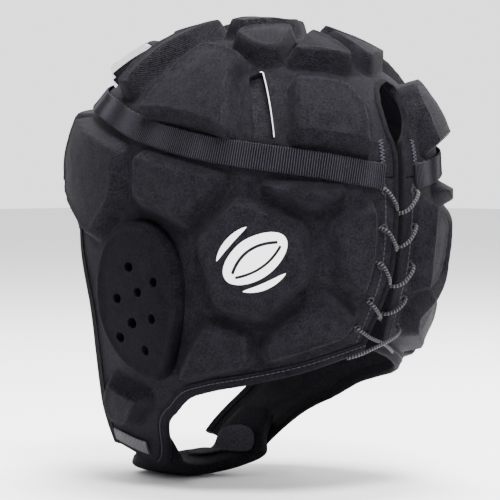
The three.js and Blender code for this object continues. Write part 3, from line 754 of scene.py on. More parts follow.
class ScrumCapColours(bpy.types.PropertyGroup):
    cloth: bpy.props.FloatVectorProperty(
        name="Cloth", description="Colour of the padded fabric", subtype="COLOR",
        default=(0.0098, 0.0090, 0.0118), size=3)
    ear: bpy.props.FloatVectorProperty(
        name="Ear pads", description="Colour of the ear pads", subtype="COLOR",
        default=(0.0054, 0.0050, 0.0067), size=3)
    tape: bpy.props.FloatVectorProperty(
        name="Tape", description="Colour of the binding tapes", subtype="COLOR",
        default=(0.0066, 0.0061, 0.0080), size=3)
    webbing: bpy.props.FloatVectorProperty(
        name="Webbing", description="Colour of the webbing", subtype="COLOR",
        default=(0.0060, 0.0056, 0.0074), size=3)
    elastic: bpy.props.FloatVectorProperty(
        name="Elastic", description="Colour of the elastic", subtype="COLOR",
        default=(0.095, 0.092, 0.10), size=3)
    foam: bpy.props.FloatVectorProperty(
        name="Cut foam", description="Colour of the foam where it is cut", subtype="COLOR",
        default=(0.62, 0.62, 0.64), size=3)
    ink: bpy.props.FloatVectorProperty(
        name="Print", description="Colour of the printed motif", subtype="COLOR",
        default=(0.86, 0.86, 0.87), size=3)


def sizes():
    """The sizes in millimetres."""
    group = bpy.context.scene.scrum_cap_sizes
    names = group.__annotations__
    return {name: getattr(group, name) / MM for name in names}


def colours():
    return bpy.context.scene.scrum_cap_colours


def side_relief(size):
    return Relief(SIDE_PADS, side_chart, side_unchart, size["pad_height"], size["pad_bevel"],
                  size["pad_corner"])


def crown_relief(size):
    return Relief(CROWN_PADS, crown_chart, crown_unchart, size["crown_pad_height"],
                  size["pad_bevel"], size["pad_corner"])


def lining_height(relief):
    """The lining bulges a little under each pad."""
    return -LINING_SHARE * relief


def folds(points, seed):
    """Loose cloth: long folds and short ones."""
    return sum(depth * noise(points, seed + i, size) for i, (depth, size) in enumerate(FOLDS))


def outer_cloth(turn, drop, rise, loose, size):
    """The outer cloth over the pads; its folds fade in the thin fabric between them."""
    return place(turn, drop, size["fabric"] + rise + loose * np.clip(rise / 3 + 0.35, 0, 1))


def shell_piece(name, turn, drop, quads, relief, size, material, uv, seed):
    """A padded panel: outer cloth over the pads, lining inside, and the rim between them."""
    rise = relief(turn, drop)
    loose = folds(form_point(turn, drop), seed)
    top = outer_cloth(turn, drop, rise, loose, size)
    bottom = place(turn, drop, lining_height(rise) + 0.5 * loose * (rise > 1))
    points = np.concatenate([top, bottom])
    faces = closed_faces(quads, len(turn))
    return new_piece(name, points, faces, [material], np.concatenate([uv, uv]))


def panel_grid(step):
    """Spots and faces of a left side panel at an even step."""
    across = [0.0]
    for rib in range(LAST_RIB):
        a, b = panel_spots(rib, 0.0), panel_spots(rib + 1.0, 0.0)
        width = np.linalg.norm(form_point(*a) - form_point(*b))
        count = max(int(round(width / step)), 1)
        across += list(rib + np.arange(1, count + 1) / count)
    upper, lower = int(round(UPPER_PANEL / step)), int(round(LOWER_PANEL / step))
    downs = list(np.arange(upper + 1) / upper) + list(1 + 2 * np.arange(1, lower + 1) / lower)
    across, downs = np.array(across), np.array(downs)
    flap = int(np.argmin(np.abs(across - FLAP_RIB)))
    index = -np.ones((len(across), len(downs)), int)
    index[:flap + 1] = np.arange((flap + 1) * len(downs)).reshape(flap + 1, -1)
    rest = len(across) - flap - 1
    index[flap + 1:, :upper + 1] = ((flap + 1) * len(downs)
                                    + np.arange(rest * (upper + 1)).reshape(rest, -1))
    columns, rows = np.nonzero(index >= 0)
    order = np.argsort(index[columns, rows])
    turn, drop = panel_spots(across[columns[order]], downs[rows[order]])
    a, b = index[:-1, :-1], index[1:, :-1]
    c, d = index[1:, 1:], index[:-1, 1:]
    whole = (a >= 0) & (b >= 0) & (c >= 0) & (d >= 0)
    return turn, drop, np.stack([a[whole], b[whole], c[whole], d[whole]], -1)


def crown_grid(step):
    """Spots and faces of the crown, ring by ring from the top of the head to the seam."""
    columns, rows = int(round(CROWN_ROUND / step)), int(round(CROWN_DOWN / step))
    turns = np.arange(columns) * 360 / columns - 180
    shares = np.arange(1, rows + 1) / rows
    turn = np.broadcast_to(turns, (rows, columns)).ravel()
    drop = ((seam_drop(turns) - SEAM_GAP)[None] * shares[:, None]).ravel()
    index = np.arange(rows * columns).reshape(rows, columns)
    a, b = index[:-1], np.roll(index, -1, 1)[:-1]
    c, d = np.roll(index, -1, 1)[1:], index[1:]
    quads = np.stack([a, d, c, b], -1).reshape(-1, 4)
    return turn, drop, quads, index[0]


def cutter_piece(name, chart_points, unchart, cloth, foam=None, bare=None, relief=None):
    """A prism through the wall; where bare says so, the top of the cut shows the foam."""
    turn, drop = unchart(chart_points)
    pitch = 1.3
    heights = np.arange(-6.0, 20.1, pitch)
    rings = np.stack([place(turn, drop, height) for height in heights])
    points, faces = tube(rings)
    if foam is None:
        return new_piece(name, points, faces, [cloth])
    tops = sizes()["fabric"] + relief(turn, drop)
    count = len(turn)
    marks = []
    for face in faces:
        ring, i = min(face) // count, min(face[0], face[1]) % count
        light = len(face) == 4 and ring < len(heights) - 1 and bare[i]
        marks.append(int(light and heights[ring] + pitch / 2 > tops[i] - FOAM_SHOWN))
    return new_piece(name, points, faces, [cloth, foam], face_materials=marks)


def cut(piece, cutter):
    face_out(cutter)
    only(piece)
    modifier = piece.modifiers.new("cut", "BOOLEAN")
    modifier.operation, modifier.solver = "DIFFERENCE", "EXACT"
    modifier.material_mode = "TRANSFER"
    modifier.object = cutter
    bpy.ops.object.modifier_apply(modifier=modifier.name)
    bpy.data.objects.remove(cutter)


def slit_outline():
    left = [(middle + half, drop) for drop, middle, half in SLIT]
    right = [(middle - half, drop) for drop, middle, half in SLIT[1:]]
    corners = np.array(left + right[::-1])
    return crown_chart(corners[:, 0], corners[:, 1])


class SCRUMCAP_OT_crown(bpy.types.Operator):
    """Padded crown with its vents and rear slit"""
    bl_idname = "scrumcap.crown"
    bl_label = "Crown"

    def execute(self, context):
        size, colour = sizes(), colours()
        cloth = knit_finish("crown_knit", colour.cloth)
        foam = foam_finish("cut_foam", colour.foam)
        turn, drop, quads, first = crown_grid(size["step"] * 1.08)
        relief = crown_relief(size)
        rise = relief(turn, drop)
        top = outer_cloth(turn, drop, rise, folds(form_point(turn, drop), 3), size)
        bottom = place(turn, drop, lining_height(rise))
        points = np.concatenate([top, bottom])
        count = len(turn)
        ring, under = [int(i) for i in first], [int(i) + count for i in first]
        faces = closed_faces(quads, count)
        over, beneath = np.isin(faces, ring).sum(1), np.isin(faces, under).sum(1)
        keep = [list(f) for f in faces[~((over == 2) & (beneath == 2))]]
        tops = size["fabric"] + float(relief(np.array([0.0]), np.array([0.0]))[0])
        points = np.concatenate([points, [[0, 0, tops]], [[0, 0, lining_height(tops)]]])
        apex, floor = len(points) - 2, len(points) - 1
        for k in range(len(ring)):
            j = (k + 1) % len(ring)
            keep.append([apex, ring[k], ring[j]])
            keep.append([floor, under[j], under[k]])
        flat = crown_chart(turn, drop)
        uv = np.concatenate([flat, flat, [[0, 0], [0, 0]]])
        piece = new_piece("crown_padding", points, keep, [cloth, foam], uv)
        face_out(piece)
        for vent, corners in enumerate(VENTS):
            corners = np.array(corners, float)
            for side in (1, -1):
                flat = soft_outline(crown_chart(side * corners[:, 0], corners[:, 1]), 1.5, 2.0)
                around, down = crown_unchart(flat)
                # a front vent shows its foam at the edge towards the face
                bare = (np.abs(around) > 131.5) & bool(vent)
                cut(piece, cutter_piece("vent_cutter", flat, crown_unchart, cloth, foam, bare,
                                        relief))
                if not vent:
                    self.rim(side, around, down, relief, size, foam)
                    # a sheet of dark cloth behind each side vent: painted shade where the cap's
                    # shaded inside shows
                    self.lining(side, around, down, cloth)
        cut(piece, cutter_piece("slit_cutter", slit_outline(), crown_unchart, cloth))
        finish_piece(piece, ["crown_panel"], 58)
        return {"FINISHED"}

    def lining(self, side, turn, drop, cloth):
        """A sheet of the dark cloth just inside the cap behind a side vent: painted shade for the
        shaded inside of the cap seen through it.
        """
        middle = np.array([turn.mean(), drop.mean()])
        turn, drop = middle[0] + (turn - middle[0]) * 1.25, middle[1] + (drop - middle[1]) * 1.08
        rings = np.stack([place(turn, drop, height) for height in (-0.9, -0.2)])
        name = "left" if side > 0 else "right"
        tube_piece(f"vent_shade_sheet_{name}", rings, cloth, angle=30, mapped=False)

    def rim(self, side, turn, drop, relief, size, foam):
        """The thin light line of cut foam along a side vent's rear and top edges."""
        turn = np.abs(turn)
        edge = (turn < 50.6) & (drop < 0.86)
        first = np.flatnonzero(edge & ~np.roll(edge, 1))[0]
        run = (first + np.arange(edge.sum())) % len(edge)
        spots = smooth_line(np.stack([turn[run], drop[run]], -1), 3)
        centres = place(side * spots[:, 0], spots[:, 1],
                        size["fabric"] + relief(spots[:, 0], spots[:, 1]) + 0.15)
        name = "left" if side > 0 else "right"
        tube_piece(f"vent_rim_{name}", round_tube(centres, 0.3), foam, mapped=False)


class SCRUMCAP_OT_sides(bpy.types.Operator):
    """Padded side panels, left and right"""
    bl_idname = "scrumcap.sides"
    bl_label = "Side panels"

    def execute(self, context):
        size, colour = sizes(), colours()
        cloth = knit_finish("side_knit", colour.cloth)
        relief = side_relief(size)
        turn, drop, quads = panel_grid(size["step"])
        uv = side_chart(turn, drop)
        for side, name in ((1, "left"), (-1, "right")):
            way = quads if side > 0 else quads[:, ::-1]
            piece = shell_piece(f"side_padding_{name}", side * turn, drop, way, relief, size,
                                cloth, uv, 11 + side)
            face_out(piece)
            holes(piece, side, size, cloth, -4.0, 6.0)
            finish_piece(piece, [f"side_panel_{name}"], 58)
        return {"FINISHED"}


def round_tube(centres, radius, steps=8):
    """A thin round tube along a line of points."""
    run = unit(np.gradient(centres, axis=0))
    up = unit(centres - np.array([0.0, 0.0, -110.0]))
    sides = unit(np.cross(up, run))
    normals = np.cross(run, sides)
    angles = np.linspace(0, FULL_TURN, steps, endpoint=False)
    radius = np.broadcast_to(radius, (len(centres), steps))
    return centres[:, None] + radius[..., None] * (
        np.cos(angles)[None, :, None] * sides[:, None]
        + np.sin(angles)[None, :, None] * normals[:, None])


def ear_axes():
    turnward, downward, _ = form_frame(np.array(EAR_MIDDLE[0]), np.array(EAR_MIDDLE[1]))
    return unit(turnward), unit(downward)


def ear_spots(aside, down):
    """Spots over the ear by their distances forward and down from its middle."""
    forward, downward = ear_axes()
    move = np.asarray(aside)[..., None] * forward + np.asarray(down)[..., None] * downward
    turn = np.full(move.shape[:-1], EAR_MIDDLE[0])
    drop = np.full(move.shape[:-1], EAR_MIDDLE[1])
    return shifted(turn, drop, move)


def holes(piece, side, size, material, low, high):
    """Cuts the ear holes through a piece."""
    angles = np.linspace(0, FULL_TURN, 14, endpoint=False)
    for across, down in EAR_HOLES:
        reach = size["ear_hole"] / 2
        turn, drop = ear_spots(-across * EAR_HALF_WIDTH + reach * np.cos(angles),
                               down * EAR_HALF_LENGTH + reach * np.sin(angles))
        rings = np.stack([place(side * turn, drop, low), place(side * turn, drop, high)])
        points, faces = tube(rings)
        cut(piece, new_piece("hole_cutter", points, faces, [material]))


class SCRUMCAP_OT_ears(bpy.types.Operator):
    """Ear pads with a rolled rim and drilled holes"""
    bl_idname = "scrumcap.ears"
    bl_label = "Ear pads"

    def execute(self, context):
        size, colour = sizes(), colours()
        cloth = knit_finish("ear_knit", colour.ear, roughness=0.6, sheen=0.0)
        angles = np.linspace(0, FULL_TURN, 150, endpoint=False)
        high = size["fabric"] + size["ear_height"]
        foot = size["fabric"] + 0.3
        # share of the radius and height at each ring, from the middle of the top out and under
        rings = [(s, high - 0.5 + 0.1 * s) for s in np.linspace(0.06, 0.80, 16)]
        rings += [(0.83, high - 0.35), (0.86, high - 0.1), (0.885, high), (0.91, high - 0.02),
                  (0.935, high - 0.35), (0.958, high - 1.2), (0.975, high - 2.6),
                  (0.99, high - 4.4), (1.0, high - 6.0), (1.0, foot + 0.8), (0.99, foot)]
        rings += [(s, foot) for s in (0.9, 0.7, 0.4, 0.06)]
        for side, name in ((1, "left"), (-1, "right")):
            points, uv = [], []
            for share, height in rings:
                taper = 1 - EAR_TAPER * np.sin(angles)
                aside = EAR_HALF_WIDTH * share * taper * np.cos(angles)
                down = EAR_HALF_LENGTH * share * np.sin(angles)
                turn, drop = ear_spots(aside, down)
                points.append(place(side * turn, drop, height))
                uv.append(np.stack([aside, down], -1))
            mesh_points, faces = tube(np.array(points))
            flat = np.concatenate([np.concatenate(uv), [[0, 0], [0, 0]]])
            piece = new_piece(f"ear_padding_{name}", mesh_points, faces, [cloth], flat)
            face_out(piece)
            holes(piece, side, size, cloth, -4.0, high + 6)
            finish_piece(piece, [f"ear_pad_{name}"], 48)
        return {"FINISHED"}


def edge_line(across, down, width):
    """An even line along a panel's edge, moved out to the middle of its binding."""
    turn, drop = panel_spots(across, down)
    turn, drop = spot_line(turn, drop, 1.0)
    return shifted(turn, drop, line_frames(turn, drop)[1] * (width / 2 + 0.3))


def binding_profile(width):
    """A folded tape: thin at its stitched side, round at the fold."""
    half = width / 2
    fabric = sizes()["fabric"]
    low, high = (fabric - TAPE_THICKNESS) / 2, (fabric + TAPE_THICKNESS) / 2
    top = [(-half - 1.3, fabric + 0.12), (-half - 1.1, high + 0.1), (-half - 0.2, high + 0.12),
           (-half + 0.5, high - 0.2), (-half + 1.4, high - 0.02), (0, high),
           (half * 0.55, high - 0.12), (half * 0.85, high - 0.7)]
    fold = [(half, fabric / 2)]
    bottom = [(half * 0.85, low + 0.7), (half * 0.55, low + 0.12), (0, low),
              (-half + 0.5, low + 0.1), (-half - 1.1, low), (-half - 1.3, -0.12)]
    return top + fold + bottom


def tape_piece(name, turn, drop, profile, material, nodes):
    points, sides, normals = line_frames(turn, drop)
    profile = np.asarray(profile, float)
    rings = (points[:, None] + sides[:, None] * profile[None, :, :1]
             + normals[:, None] * profile[None, :, 1:])
    return tube_piece(name, rings, material, nodes, 40)


def stitch_row(name, turn, drop, height, width, material):
    """Thread stitches along a line on the form."""
    pitch, length = 2.6, 1.9
    turn, drop = spot_line(turn, drop, pitch)
    points, sides, normals = line_frames(turn, drop)
    run = unit(np.gradient(points, axis=0))
    all_points, all_faces = [], []
    profile = [(-0.5, -0.4), (-0.35, 0.25), (0.0, 0.5), (0.35, 0.25), (0.5, -0.4)]
    for p, r, s, n in zip(points, run, sides, normals):
        start = len(all_points)
        for t, lift in ((-0.5, -0.35), (-0.3, 0.25), (0.3, 0.25), (0.5, -0.35)):
            for a, b in profile:
                all_points.append(p + r * (t * length) + s * (a * width)
                                  + n * (height + (b + lift) * width * 0.6))
        size = len(profile)
        for ring in range(3):
            for i in range(size):
                j = (i + 1) % size
                a = start + ring * size
                all_faces.append((a + i, a + j, a + size + j, a + size + i))
        all_faces.append(tuple(start + i for i in range(size))[::-1])
        all_faces.append(tuple(start + 3 * size + i for i in range(size)))
    piece = new_piece(name, all_points, all_faces, [material])
    face_out(piece)
    finish_piece(piece, [], 60)


class SCRUMCAP_OT_bindings(bpy.types.Operator):
    """Folded tapes round the hem, the face opening and the rear slit"""
    bl_idname = "scrumcap.bindings"
    bl_label = "Bindings"

    def execute(self, context):
        colour = colours()
        tape = knit_finish("binding_weave", colour.tape, roughness=0.6)
        hem = np.linspace(0, HEM_RIB, 120)
        turn, drop = edge_line(hem, np.full_like(hem, 3.0), HEM_TAPE_WIDTH)
        for side, name in ((1, "left"), (-1, "right")):
            # the fold lies away from the panel, so the right side's profile is turned over
            shape = [(side * a, b) for a, b in binding_profile(HEM_TAPE_WIDTH)]
            tape_piece(f"hem_tape_{name}", side * turn, drop, shape, tape,
                       [f"hem_binding_{name}"])
        down = np.linspace(3, 1, 80)
        across = np.linspace(FLAP_RIB, LAST_RIB, 90)
        both_across = np.concatenate([np.full(79, float(FLAP_RIB)), across])
        both_down = np.concatenate([down[:-1], np.ones(len(across))])
        turn, drop = edge_line(both_across, both_down, FACE_TAPE_WIDTH)
        turn = wrap(np.concatenate([turn, 360 - turn[::-1][1:]]))
        drop = np.concatenate([drop, drop[::-1][1:]])
        tape_piece("face_tape", turn, drop, binding_profile(FACE_TAPE_WIDTH), tape,
                   ["face_binding"])
        slit_tape(tape)
        self.stitches(colour)
        return {"FINISHED"}

    def stitches(self, colour):
        """Thread along the hem, beside the slit, on the front seam and beside the slit's lens."""
        thread = rib_finish("thread", tuple(6.0 * c for c in colour.tape), 0.0008, 1.5)
        hem = np.linspace(0.05, HEM_RIB, 120)
        turn, drop = panel_spots(hem, np.full_like(hem, 3.0))
        turn, drop = shifted(turn, drop, line_frames(turn, drop)[1] * 1.4)
        down = np.linspace(0.15, 2.9, 90)
        slit_turn, slit_drop = panel_spots(np.full_like(down, 0.42), down)
        for side, name in ((1, "left"), (-1, "right")):
            for part, (t, d, height) in (("hem", (turn, drop, 3.08)),
                                         ("slit", (slit_turn, slit_drop, 2.6))):
                stitch_row(f"{part}_stitches_{name}", side * t, d, height, 0.55, thread)
            self.tack(name, side, thread)
        self.front_seam(thread)

    def tack(self, name, side, thread):
        """A zigzag tack beside the end of the slit's lens."""
        t = np.linspace(0, 1, 15)
        zigzag = np.where(np.arange(15) % 2, 1.0, -1.0)
        centres = place(side * (7.2 + 1.0 * zigzag), 0.87 + 0.11 * t, np.full(15, 3.0))
        rings = round_tube(even_line(centres, 0.5), 0.32, 6)
        tube_piece(f"slit_tack_{name}", rings, thread, mapped=False)

    def front_seam(self, thread):
        """A flat seam tape over the join at the middle of the forehead."""
        drop = np.linspace(seam_drop(180.0) + 0.02, 1.10, 60)
        turn = np.full(60, 180.0)
        profile = strip_profile(5.0, 2.3, 3.1)
        tape_piece("front_seam", turn, drop, profile, bpy.data.materials["binding_weave"],
                   [])
        for offset, name in ((-1.6, "a"), (1.6, "b")):
            stitch_row(f"front_stitches_{name}", turn + offset, drop, 3.15, 0.5, thread)


def slit_path():
    """Up the left edge of the rear slit, round the lens and down its right edge."""
    rear_turn, rear_drop = panel_spots(np.zeros(60), np.linspace(3, 0.2, 60))
    lens = SLIT[1:-1][::-1]
    left = np.concatenate([np.stack([rear_turn, rear_drop], -1),
                           np.stack([lens[:, 1] + lens[:, 2], lens[:, 0]], -1)])
    right = np.concatenate([np.stack([-rear_turn, rear_drop], -1),
                            np.stack([lens[:, 1] - lens[:, 2], lens[:, 0]], -1)])
    tip = np.array([[SLIT[0, 1], SLIT[0, 0]]])
    return np.concatenate([left, tip, right[::-1]])


def slit_tape(material):
    path = slit_path()
    turn, drop = spot_line(path[:, 0], path[:, 1], 0.9)
    turn, drop = shifted(turn, drop, line_frames(turn, drop)[1] * 1.5)
    base = sizes()["fabric"] + 0.1
    profile = [(-1.5, base - 2.4), (-1.55, base + 0.45), (-0.9, base + 0.7), (0.3, base + 0.6),
               (1.1, base + 0.4), (1.5, base + 0.1), (1.5, base - 0.6), (0, base - 2.4)]
    tape_piece("slit_tape", turn, drop, profile, material, ["slit_binding"])


class SCRUMCAP_OT_webbing(bpy.types.Operator):
    """Ribbed webbing over the seam round the crown"""
    bl_idname = "scrumcap.webbing"
    bl_label = "Webbing"

    def execute(self, context):
        size, colour = sizes(), colours()
        weave = rib_finish("webbing_weave", colour.webbing, 0.0013, 5.0, roughness=0.45, sheen=0.01)
        turn = np.linspace(7, 353, 500)
        turn, drop = spot_line(turn, seam_drop(wrap(turn)), 0.325)
        points, sides, normals = line_frames(wrap(turn), drop)
        base = size["fabric"] + 0.6
        half = size["webbing_width"] / 2
        thick = 1.2
        pairs = [(-half, 0.25), (-half + 0.2, 0.8), (-half + 0.8, 0.95), (-half * 0.5, 0.9),
                 (0, 0.9), (half * 0.5, 0.9), (half - 0.8, 0.95), (half - 0.2, 0.8),
                 (half, 0.25), (0, 0)]
        profile = np.broadcast_to(np.array(pairs), (len(turn), len(pairs), 2)).copy()
        profile[..., 1] = base + profile[..., 1] * thick
        rib = np.abs(np.sin(np.arange(len(turn)) * math.pi / 4))
        profile[:, 2:7, 1] += 0.22 * (rib[:, None] - 0.5)
        loops = np.abs(np.sin(np.arange(len(turn)) * math.pi / 5))
        profile[:, 0:2, 0] -= 0.35 * loops[:, None]
        rings = (points[:, None] + sides[:, None] * profile[..., :1]
                 + normals[:, None] * profile[..., 1:])
        tube_piece("crown_webbing", rings, weave, ["crown_band"])
        return {"FINISHED"}


class SCRUMCAP_OT_elastic(bpy.types.Operator):
    """Light elastic sewn over the end of the left flap"""
    bl_idname = "scrumcap.elastic"
    bl_label = "Cheek elastic"

    def execute(self, context):
        colour = colours()
        weave = rib_finish("elastic_weave", colour.elastic, 0.0012, 1.6, roughness=0.55)
        route = smooth_line(ELASTIC_ROUTE)
        turn, drop = spot_line(route[:, 0], route[:, 1], 0.4)
        base = sizes()["fabric"] + 0.9
        profile = strip_profile(8.0, base, base + 1.2)
        tape_piece("cheek_elastic_band", turn, drop, profile, weave,
                   ["cheek_elastic"])
        return {"FINISHED"}


def strap_rings(asides, heights, shares=STRAP_SHARES):
    """Rings of the chin strap at its stations; asides are shares of the half width."""
    near = [(107.0, d) for d in (2.28, 2.36, 2.43)]
    far = [(-103.0, d) for d in (2.43, 2.36, 2.27)]
    height = -0.3 - 0.6 - STRAP_THICKNESS / 2

    def station(spot, half):
        turn, drop = np.array(spot[0]), np.array(spot[1])
        across = -np.sign(spot[0]) * unit(form_frame(turn, drop)[0])
        moves = (asides * half)[:, None] * across
        t, d = shifted(np.full(len(asides), spot[0]), np.full(len(asides), spot[1]), moves)
        return place(t, d, height - heights), place(turn, drop, height), across

    halves = [share * STRAP_WIDTH for share in shares]
    first = [station(spot, half) for spot, half in zip(near, halves[:3])]
    last = [station(spot, half) for spot, half in zip(far, halves[7:])]
    start, end = first[-1], last[0]
    points, acrosses = [], []
    for share in (0.15, 0.38, 0.62, 0.85):
        point = start[1] * (1 - share) + end[1] * share
        bow = math.sin(math.pi * share) ** 0.8
        point = point + np.array([0, -18.0 * bow, -8.0 * bow])
        points.append(point)
        acrosses.append(unit(start[2] * (1 - share) + end[2] * share))
    chain = [start[1]] + points + [end[1]]
    rings = [r[0] for r in first]
    for i, (point, across) in enumerate(zip(points, acrosses)):
        run = unit(chain[i + 2] - chain[i])
        inward = unit(np.cross(across, run))
        half = halves[3 + i]
        rings.append(point + (asides * half)[:, None] * across + heights[:, None] * inward)
    return np.array(rings + [r[0] for r in last])


class SCRUMCAP_OT_strap(bpy.types.Operator):
    """Padded chin strap and its brushed loop patch"""
    bl_idname = "scrumcap.strap"
    bl_label = "Chin strap"

    def execute(self, context):
        colour = colours()
        cloth = knit_finish("strap_knit", colour.cloth, roughness=0.66)
        pile = loop_finish("loop_pile", colour.cloth)
        angles = np.linspace(0, FULL_TURN, 48, endpoint=False)
        asides = signed_power(np.cos(angles), 0.75)
        heights = signed_power(np.sin(angles), 0.42) * STRAP_THICKNESS / 2
        rings = strap_rings(asides, heights)
        rings = smooth_line(rings.reshape(len(rings), -1), 10).reshape(-1, len(angles), 3)
        piece = tube_piece("chin_strap_padding", rings, cloth, ["chin_strap"], 50)
        self.patch(pile)
        return {"FINISHED"}

    def patch(self, pile):
        """The brushed patch on the strap's inner face, with rounded ends."""
        angles = np.linspace(0, FULL_TURN, 40, endpoint=False)
        asides = signed_power(np.cos(angles), 0.6)
        heights = STRAP_THICKNESS / 2 + 0.9 + signed_power(np.sin(angles), 0.6) * 0.85
        shares = [0.28] * 6 + [share * PATCH_WIDTH / STRAP_WIDTH for share in PATCH_SHARES]
        rings = strap_rings(asides, heights, shares)[5:]
        rings = smooth_line(rings.reshape(len(rings), -1), 14)[3:-12].reshape(-1, len(angles), 3)
        t = np.linspace(-1, 1, len(rings))[:, None, None]
        width = np.clip(1 - np.abs(t) ** 6, 0.0, 1) ** 0.5
        middle = rings.mean(1, keepdims=True)
        rings = middle + (rings - middle) * np.maximum(width, 0.06)
        tube_piece("strap_loop", rings, pile, ["strap_loop_patch"])


def lace_route():
    """One strand of the lacing: out of an eyelet, over the edge, into the slit and back out."""
    points = []
    side = 1
    for i, (turn, drop) in enumerate(EYELETS[:-1]):
        following = EYELETS[i + 1]
        reach = following[1] - drop
        points += [
            (side * (turn + 1.6), drop - 0.012, 1.2),
            (side * turn, drop, 4.6),
            (side * turn * 0.55, drop + 0.30 * reach, 5.2),
            (side * turn * 0.2, drop + 0.50 * reach, 3.0),
            (-side * 0.4, drop + 0.60 * reach, -1.0),
            (-side * turn * 0.5, drop + 0.78 * reach, -2.4),
            (-side * (turn + 1.0), drop + 0.94 * reach, -2.0),
        ]
        side = -side
    return points, side


class SCRUMCAP_OT_lacing(bpy.types.Operator):
    """Cord that laces the rear slit, with its stitched eyelets"""
    bl_idname = "scrumcap.lacing"
    bl_label = "Lacing"

    def execute(self, context):
        size, colour = sizes(), colours()
        cord = cord_finish("lace_twist", LACE_COLOUR)
        route, side = lace_route()
        turn, drop = EYELETS[-1]
        ends = [(side * (turn + 1.0), drop - 0.01, 1.2), (side * turn, drop, 4.6),
                (side * turn * 0.5, drop + 0.030, 6.0), (-side * turn * 0.2, drop + 0.062, 6.6),
                (-side * turn * 0.8, drop + 0.095, 6.0),
                (-side * (turn + 2.2), drop + 0.118, 4.4)]
        line = np.array(route + ends)
        other = line.copy()
        other[:, 0] *= -1
        other[:, 2] += np.where(other[:, 2] > 2, 0.9, -0.6)
        other[:, 1] += 0.012
        step, lay = 0.35, 1.6
        angles = np.linspace(0, FULL_TURN, 12, endpoint=False)
        for name, spots, nodes in (("lace_a", line, ["rear_lace"]), ("lace_b", other, [])):
            centres = even_line(smooth_line(place(*spots.T), 14), step)
            wind = np.arange(len(centres))[:, None] * FULL_TURN * step / lay
            radius = size["lace_width"] / 2 * (0.94 + 0.09 * np.sin(2 * angles[None] + wind))
            tube_piece(name, round_tube(centres, radius, 12), cord, nodes)
        self.eyelets(cord)
        return {"FINISHED"}

    def eyelets(self, cord):
        made = []
        for side in (1, -1):
            for turn, drop in EYELETS:
                spot = place(side * turn, drop, 2.7) * MM
                normal = Vector(form_frame(np.array(side * turn), np.array(drop))[2])
                bpy.ops.object.select_all(action="DESELECT")
                bpy.ops.mesh.primitive_torus_add(
                    major_radius=EYELET_RADIUS * MM, minor_radius=EYELET_THREAD * MM,
                    major_segments=18, minor_segments=8, location=tuple(spot),
                    rotation=normal.to_track_quat("Z", "Y").to_euler())
                made.append(bpy.context.active_object)
        bpy.ops.object.select_all(action="DESELECT")
        for ring in made:
            ring.select_set(True)
        bpy.context.view_layer.objects.active = made[0]
        bpy.ops.object.join()
        piece = bpy.context.active_object
        bpy.ops.object.transform_apply(location=True, rotation=True, scale=True)
        piece.name = piece.data.name = "lace_eyelets"
        piece.data.materials.append(cord)
        finish_piece(piece, [], 60)


class SCRUMCAP_OT_motif(bpy.types.Operator):
    """Plain printed ball motif on the large rear pad"""
    bl_idname = "scrumcap.motif"
    bl_label = "Printed motif"

    def execute(self, context):
        size, colour = sizes(), colours()
        ink = print_finish("white_print", colour.ink)
        relief = side_relief(size)
        reach, pitch = 24, 1.2
        grid = np.arange(-reach, reach + 0.01, pitch)
        mesh_grid = np.stack(np.meshgrid(grid, grid), -1).reshape(-1, 2)
        all_points, all_faces = [], []
        for outline, openings in motif_polygons():
            lines = [outline, *openings]
            covered = inside(outline, mesh_grid)
            for opening in openings:
                covered &= ~inside(opening, mesh_grid)
            near = np.min([distance_to_line(mesh_grid, line) for line in lines], 0)
            free = mesh_grid[covered & (near > 0.5)]
            points, edges = [], []
            for line in lines:
                start = len(points)
                points += [Vector(p) for p in line]
                edges += [(start + i, start + (i + 1) % len(line)) for i in range(len(line))]
            points += [Vector(p) for p in free]
            found, _, faces, *_ = delaunay_2d_cdt(points, edges, [], 0, 1e-5)
            found = np.array([list(p) for p in found])
            faces = np.array([f for f in faces if len(f) == 3])
            middles = found[faces].mean(1)
            keep = inside(outline, middles)
            for opening in openings:
                keep &= ~inside(opening, middles)
            start = len(all_points)
            all_points += found.tolist()
            all_faces += (faces[keep] + start).tolist()
        flat = np.array(all_points)
        turn, drop = (np.full(len(flat), value) for value in MOTIF_MIDDLE)
        turnward, downward, _ = form_frame(turn[0], drop[0])
        move = -flat[:, :1] * unit(turnward) - flat[:, 1:] * unit(downward)
        turn, drop = shifted(turn, drop, move)
        # the folds of the left side panel, whose seed is 12
        height = size["fabric"] + relief(turn, drop) + folds(form_point(turn, drop), 12) + 0.10
        piece = new_piece("printed_motif", place(turn, drop, height), all_faces, [ink])
        face_out(piece)
        only(piece)
        modifier = piece.modifiers.new("thickness", "SOLIDIFY")
        modifier.thickness, modifier.offset = 0.0001, -1.0
        bpy.ops.object.modifier_apply(modifier=modifier.name)
        finish_piece(piece, [], 40)
        return {"FINISHED"}


def arc_band(start, end, bend, width, steps=26, taper=True):
    """A curved stroke between two points, thin at its ends."""
    start, end = np.array(start, float), np.array(end, float)
    run = end - start
    side = np.array([-run[1], run[0]]) / np.linalg.norm(run)
    t = np.linspace(0, 1, steps)
    middle = start + run * t[:, None] + side * (bend * 4 * t * (1 - t))[:, None]
    half = width / 2 * (np.sin(math.pi * t) ** 0.6 if taper else np.ones(steps))
    half = np.maximum(half, 0.12)
    across = unit(np.gradient(middle, axis=0))[:, ::-1] * [-1, 1]
    across = across * half[:, None]
    return np.concatenate([middle + across, (middle - across)[::-1]])


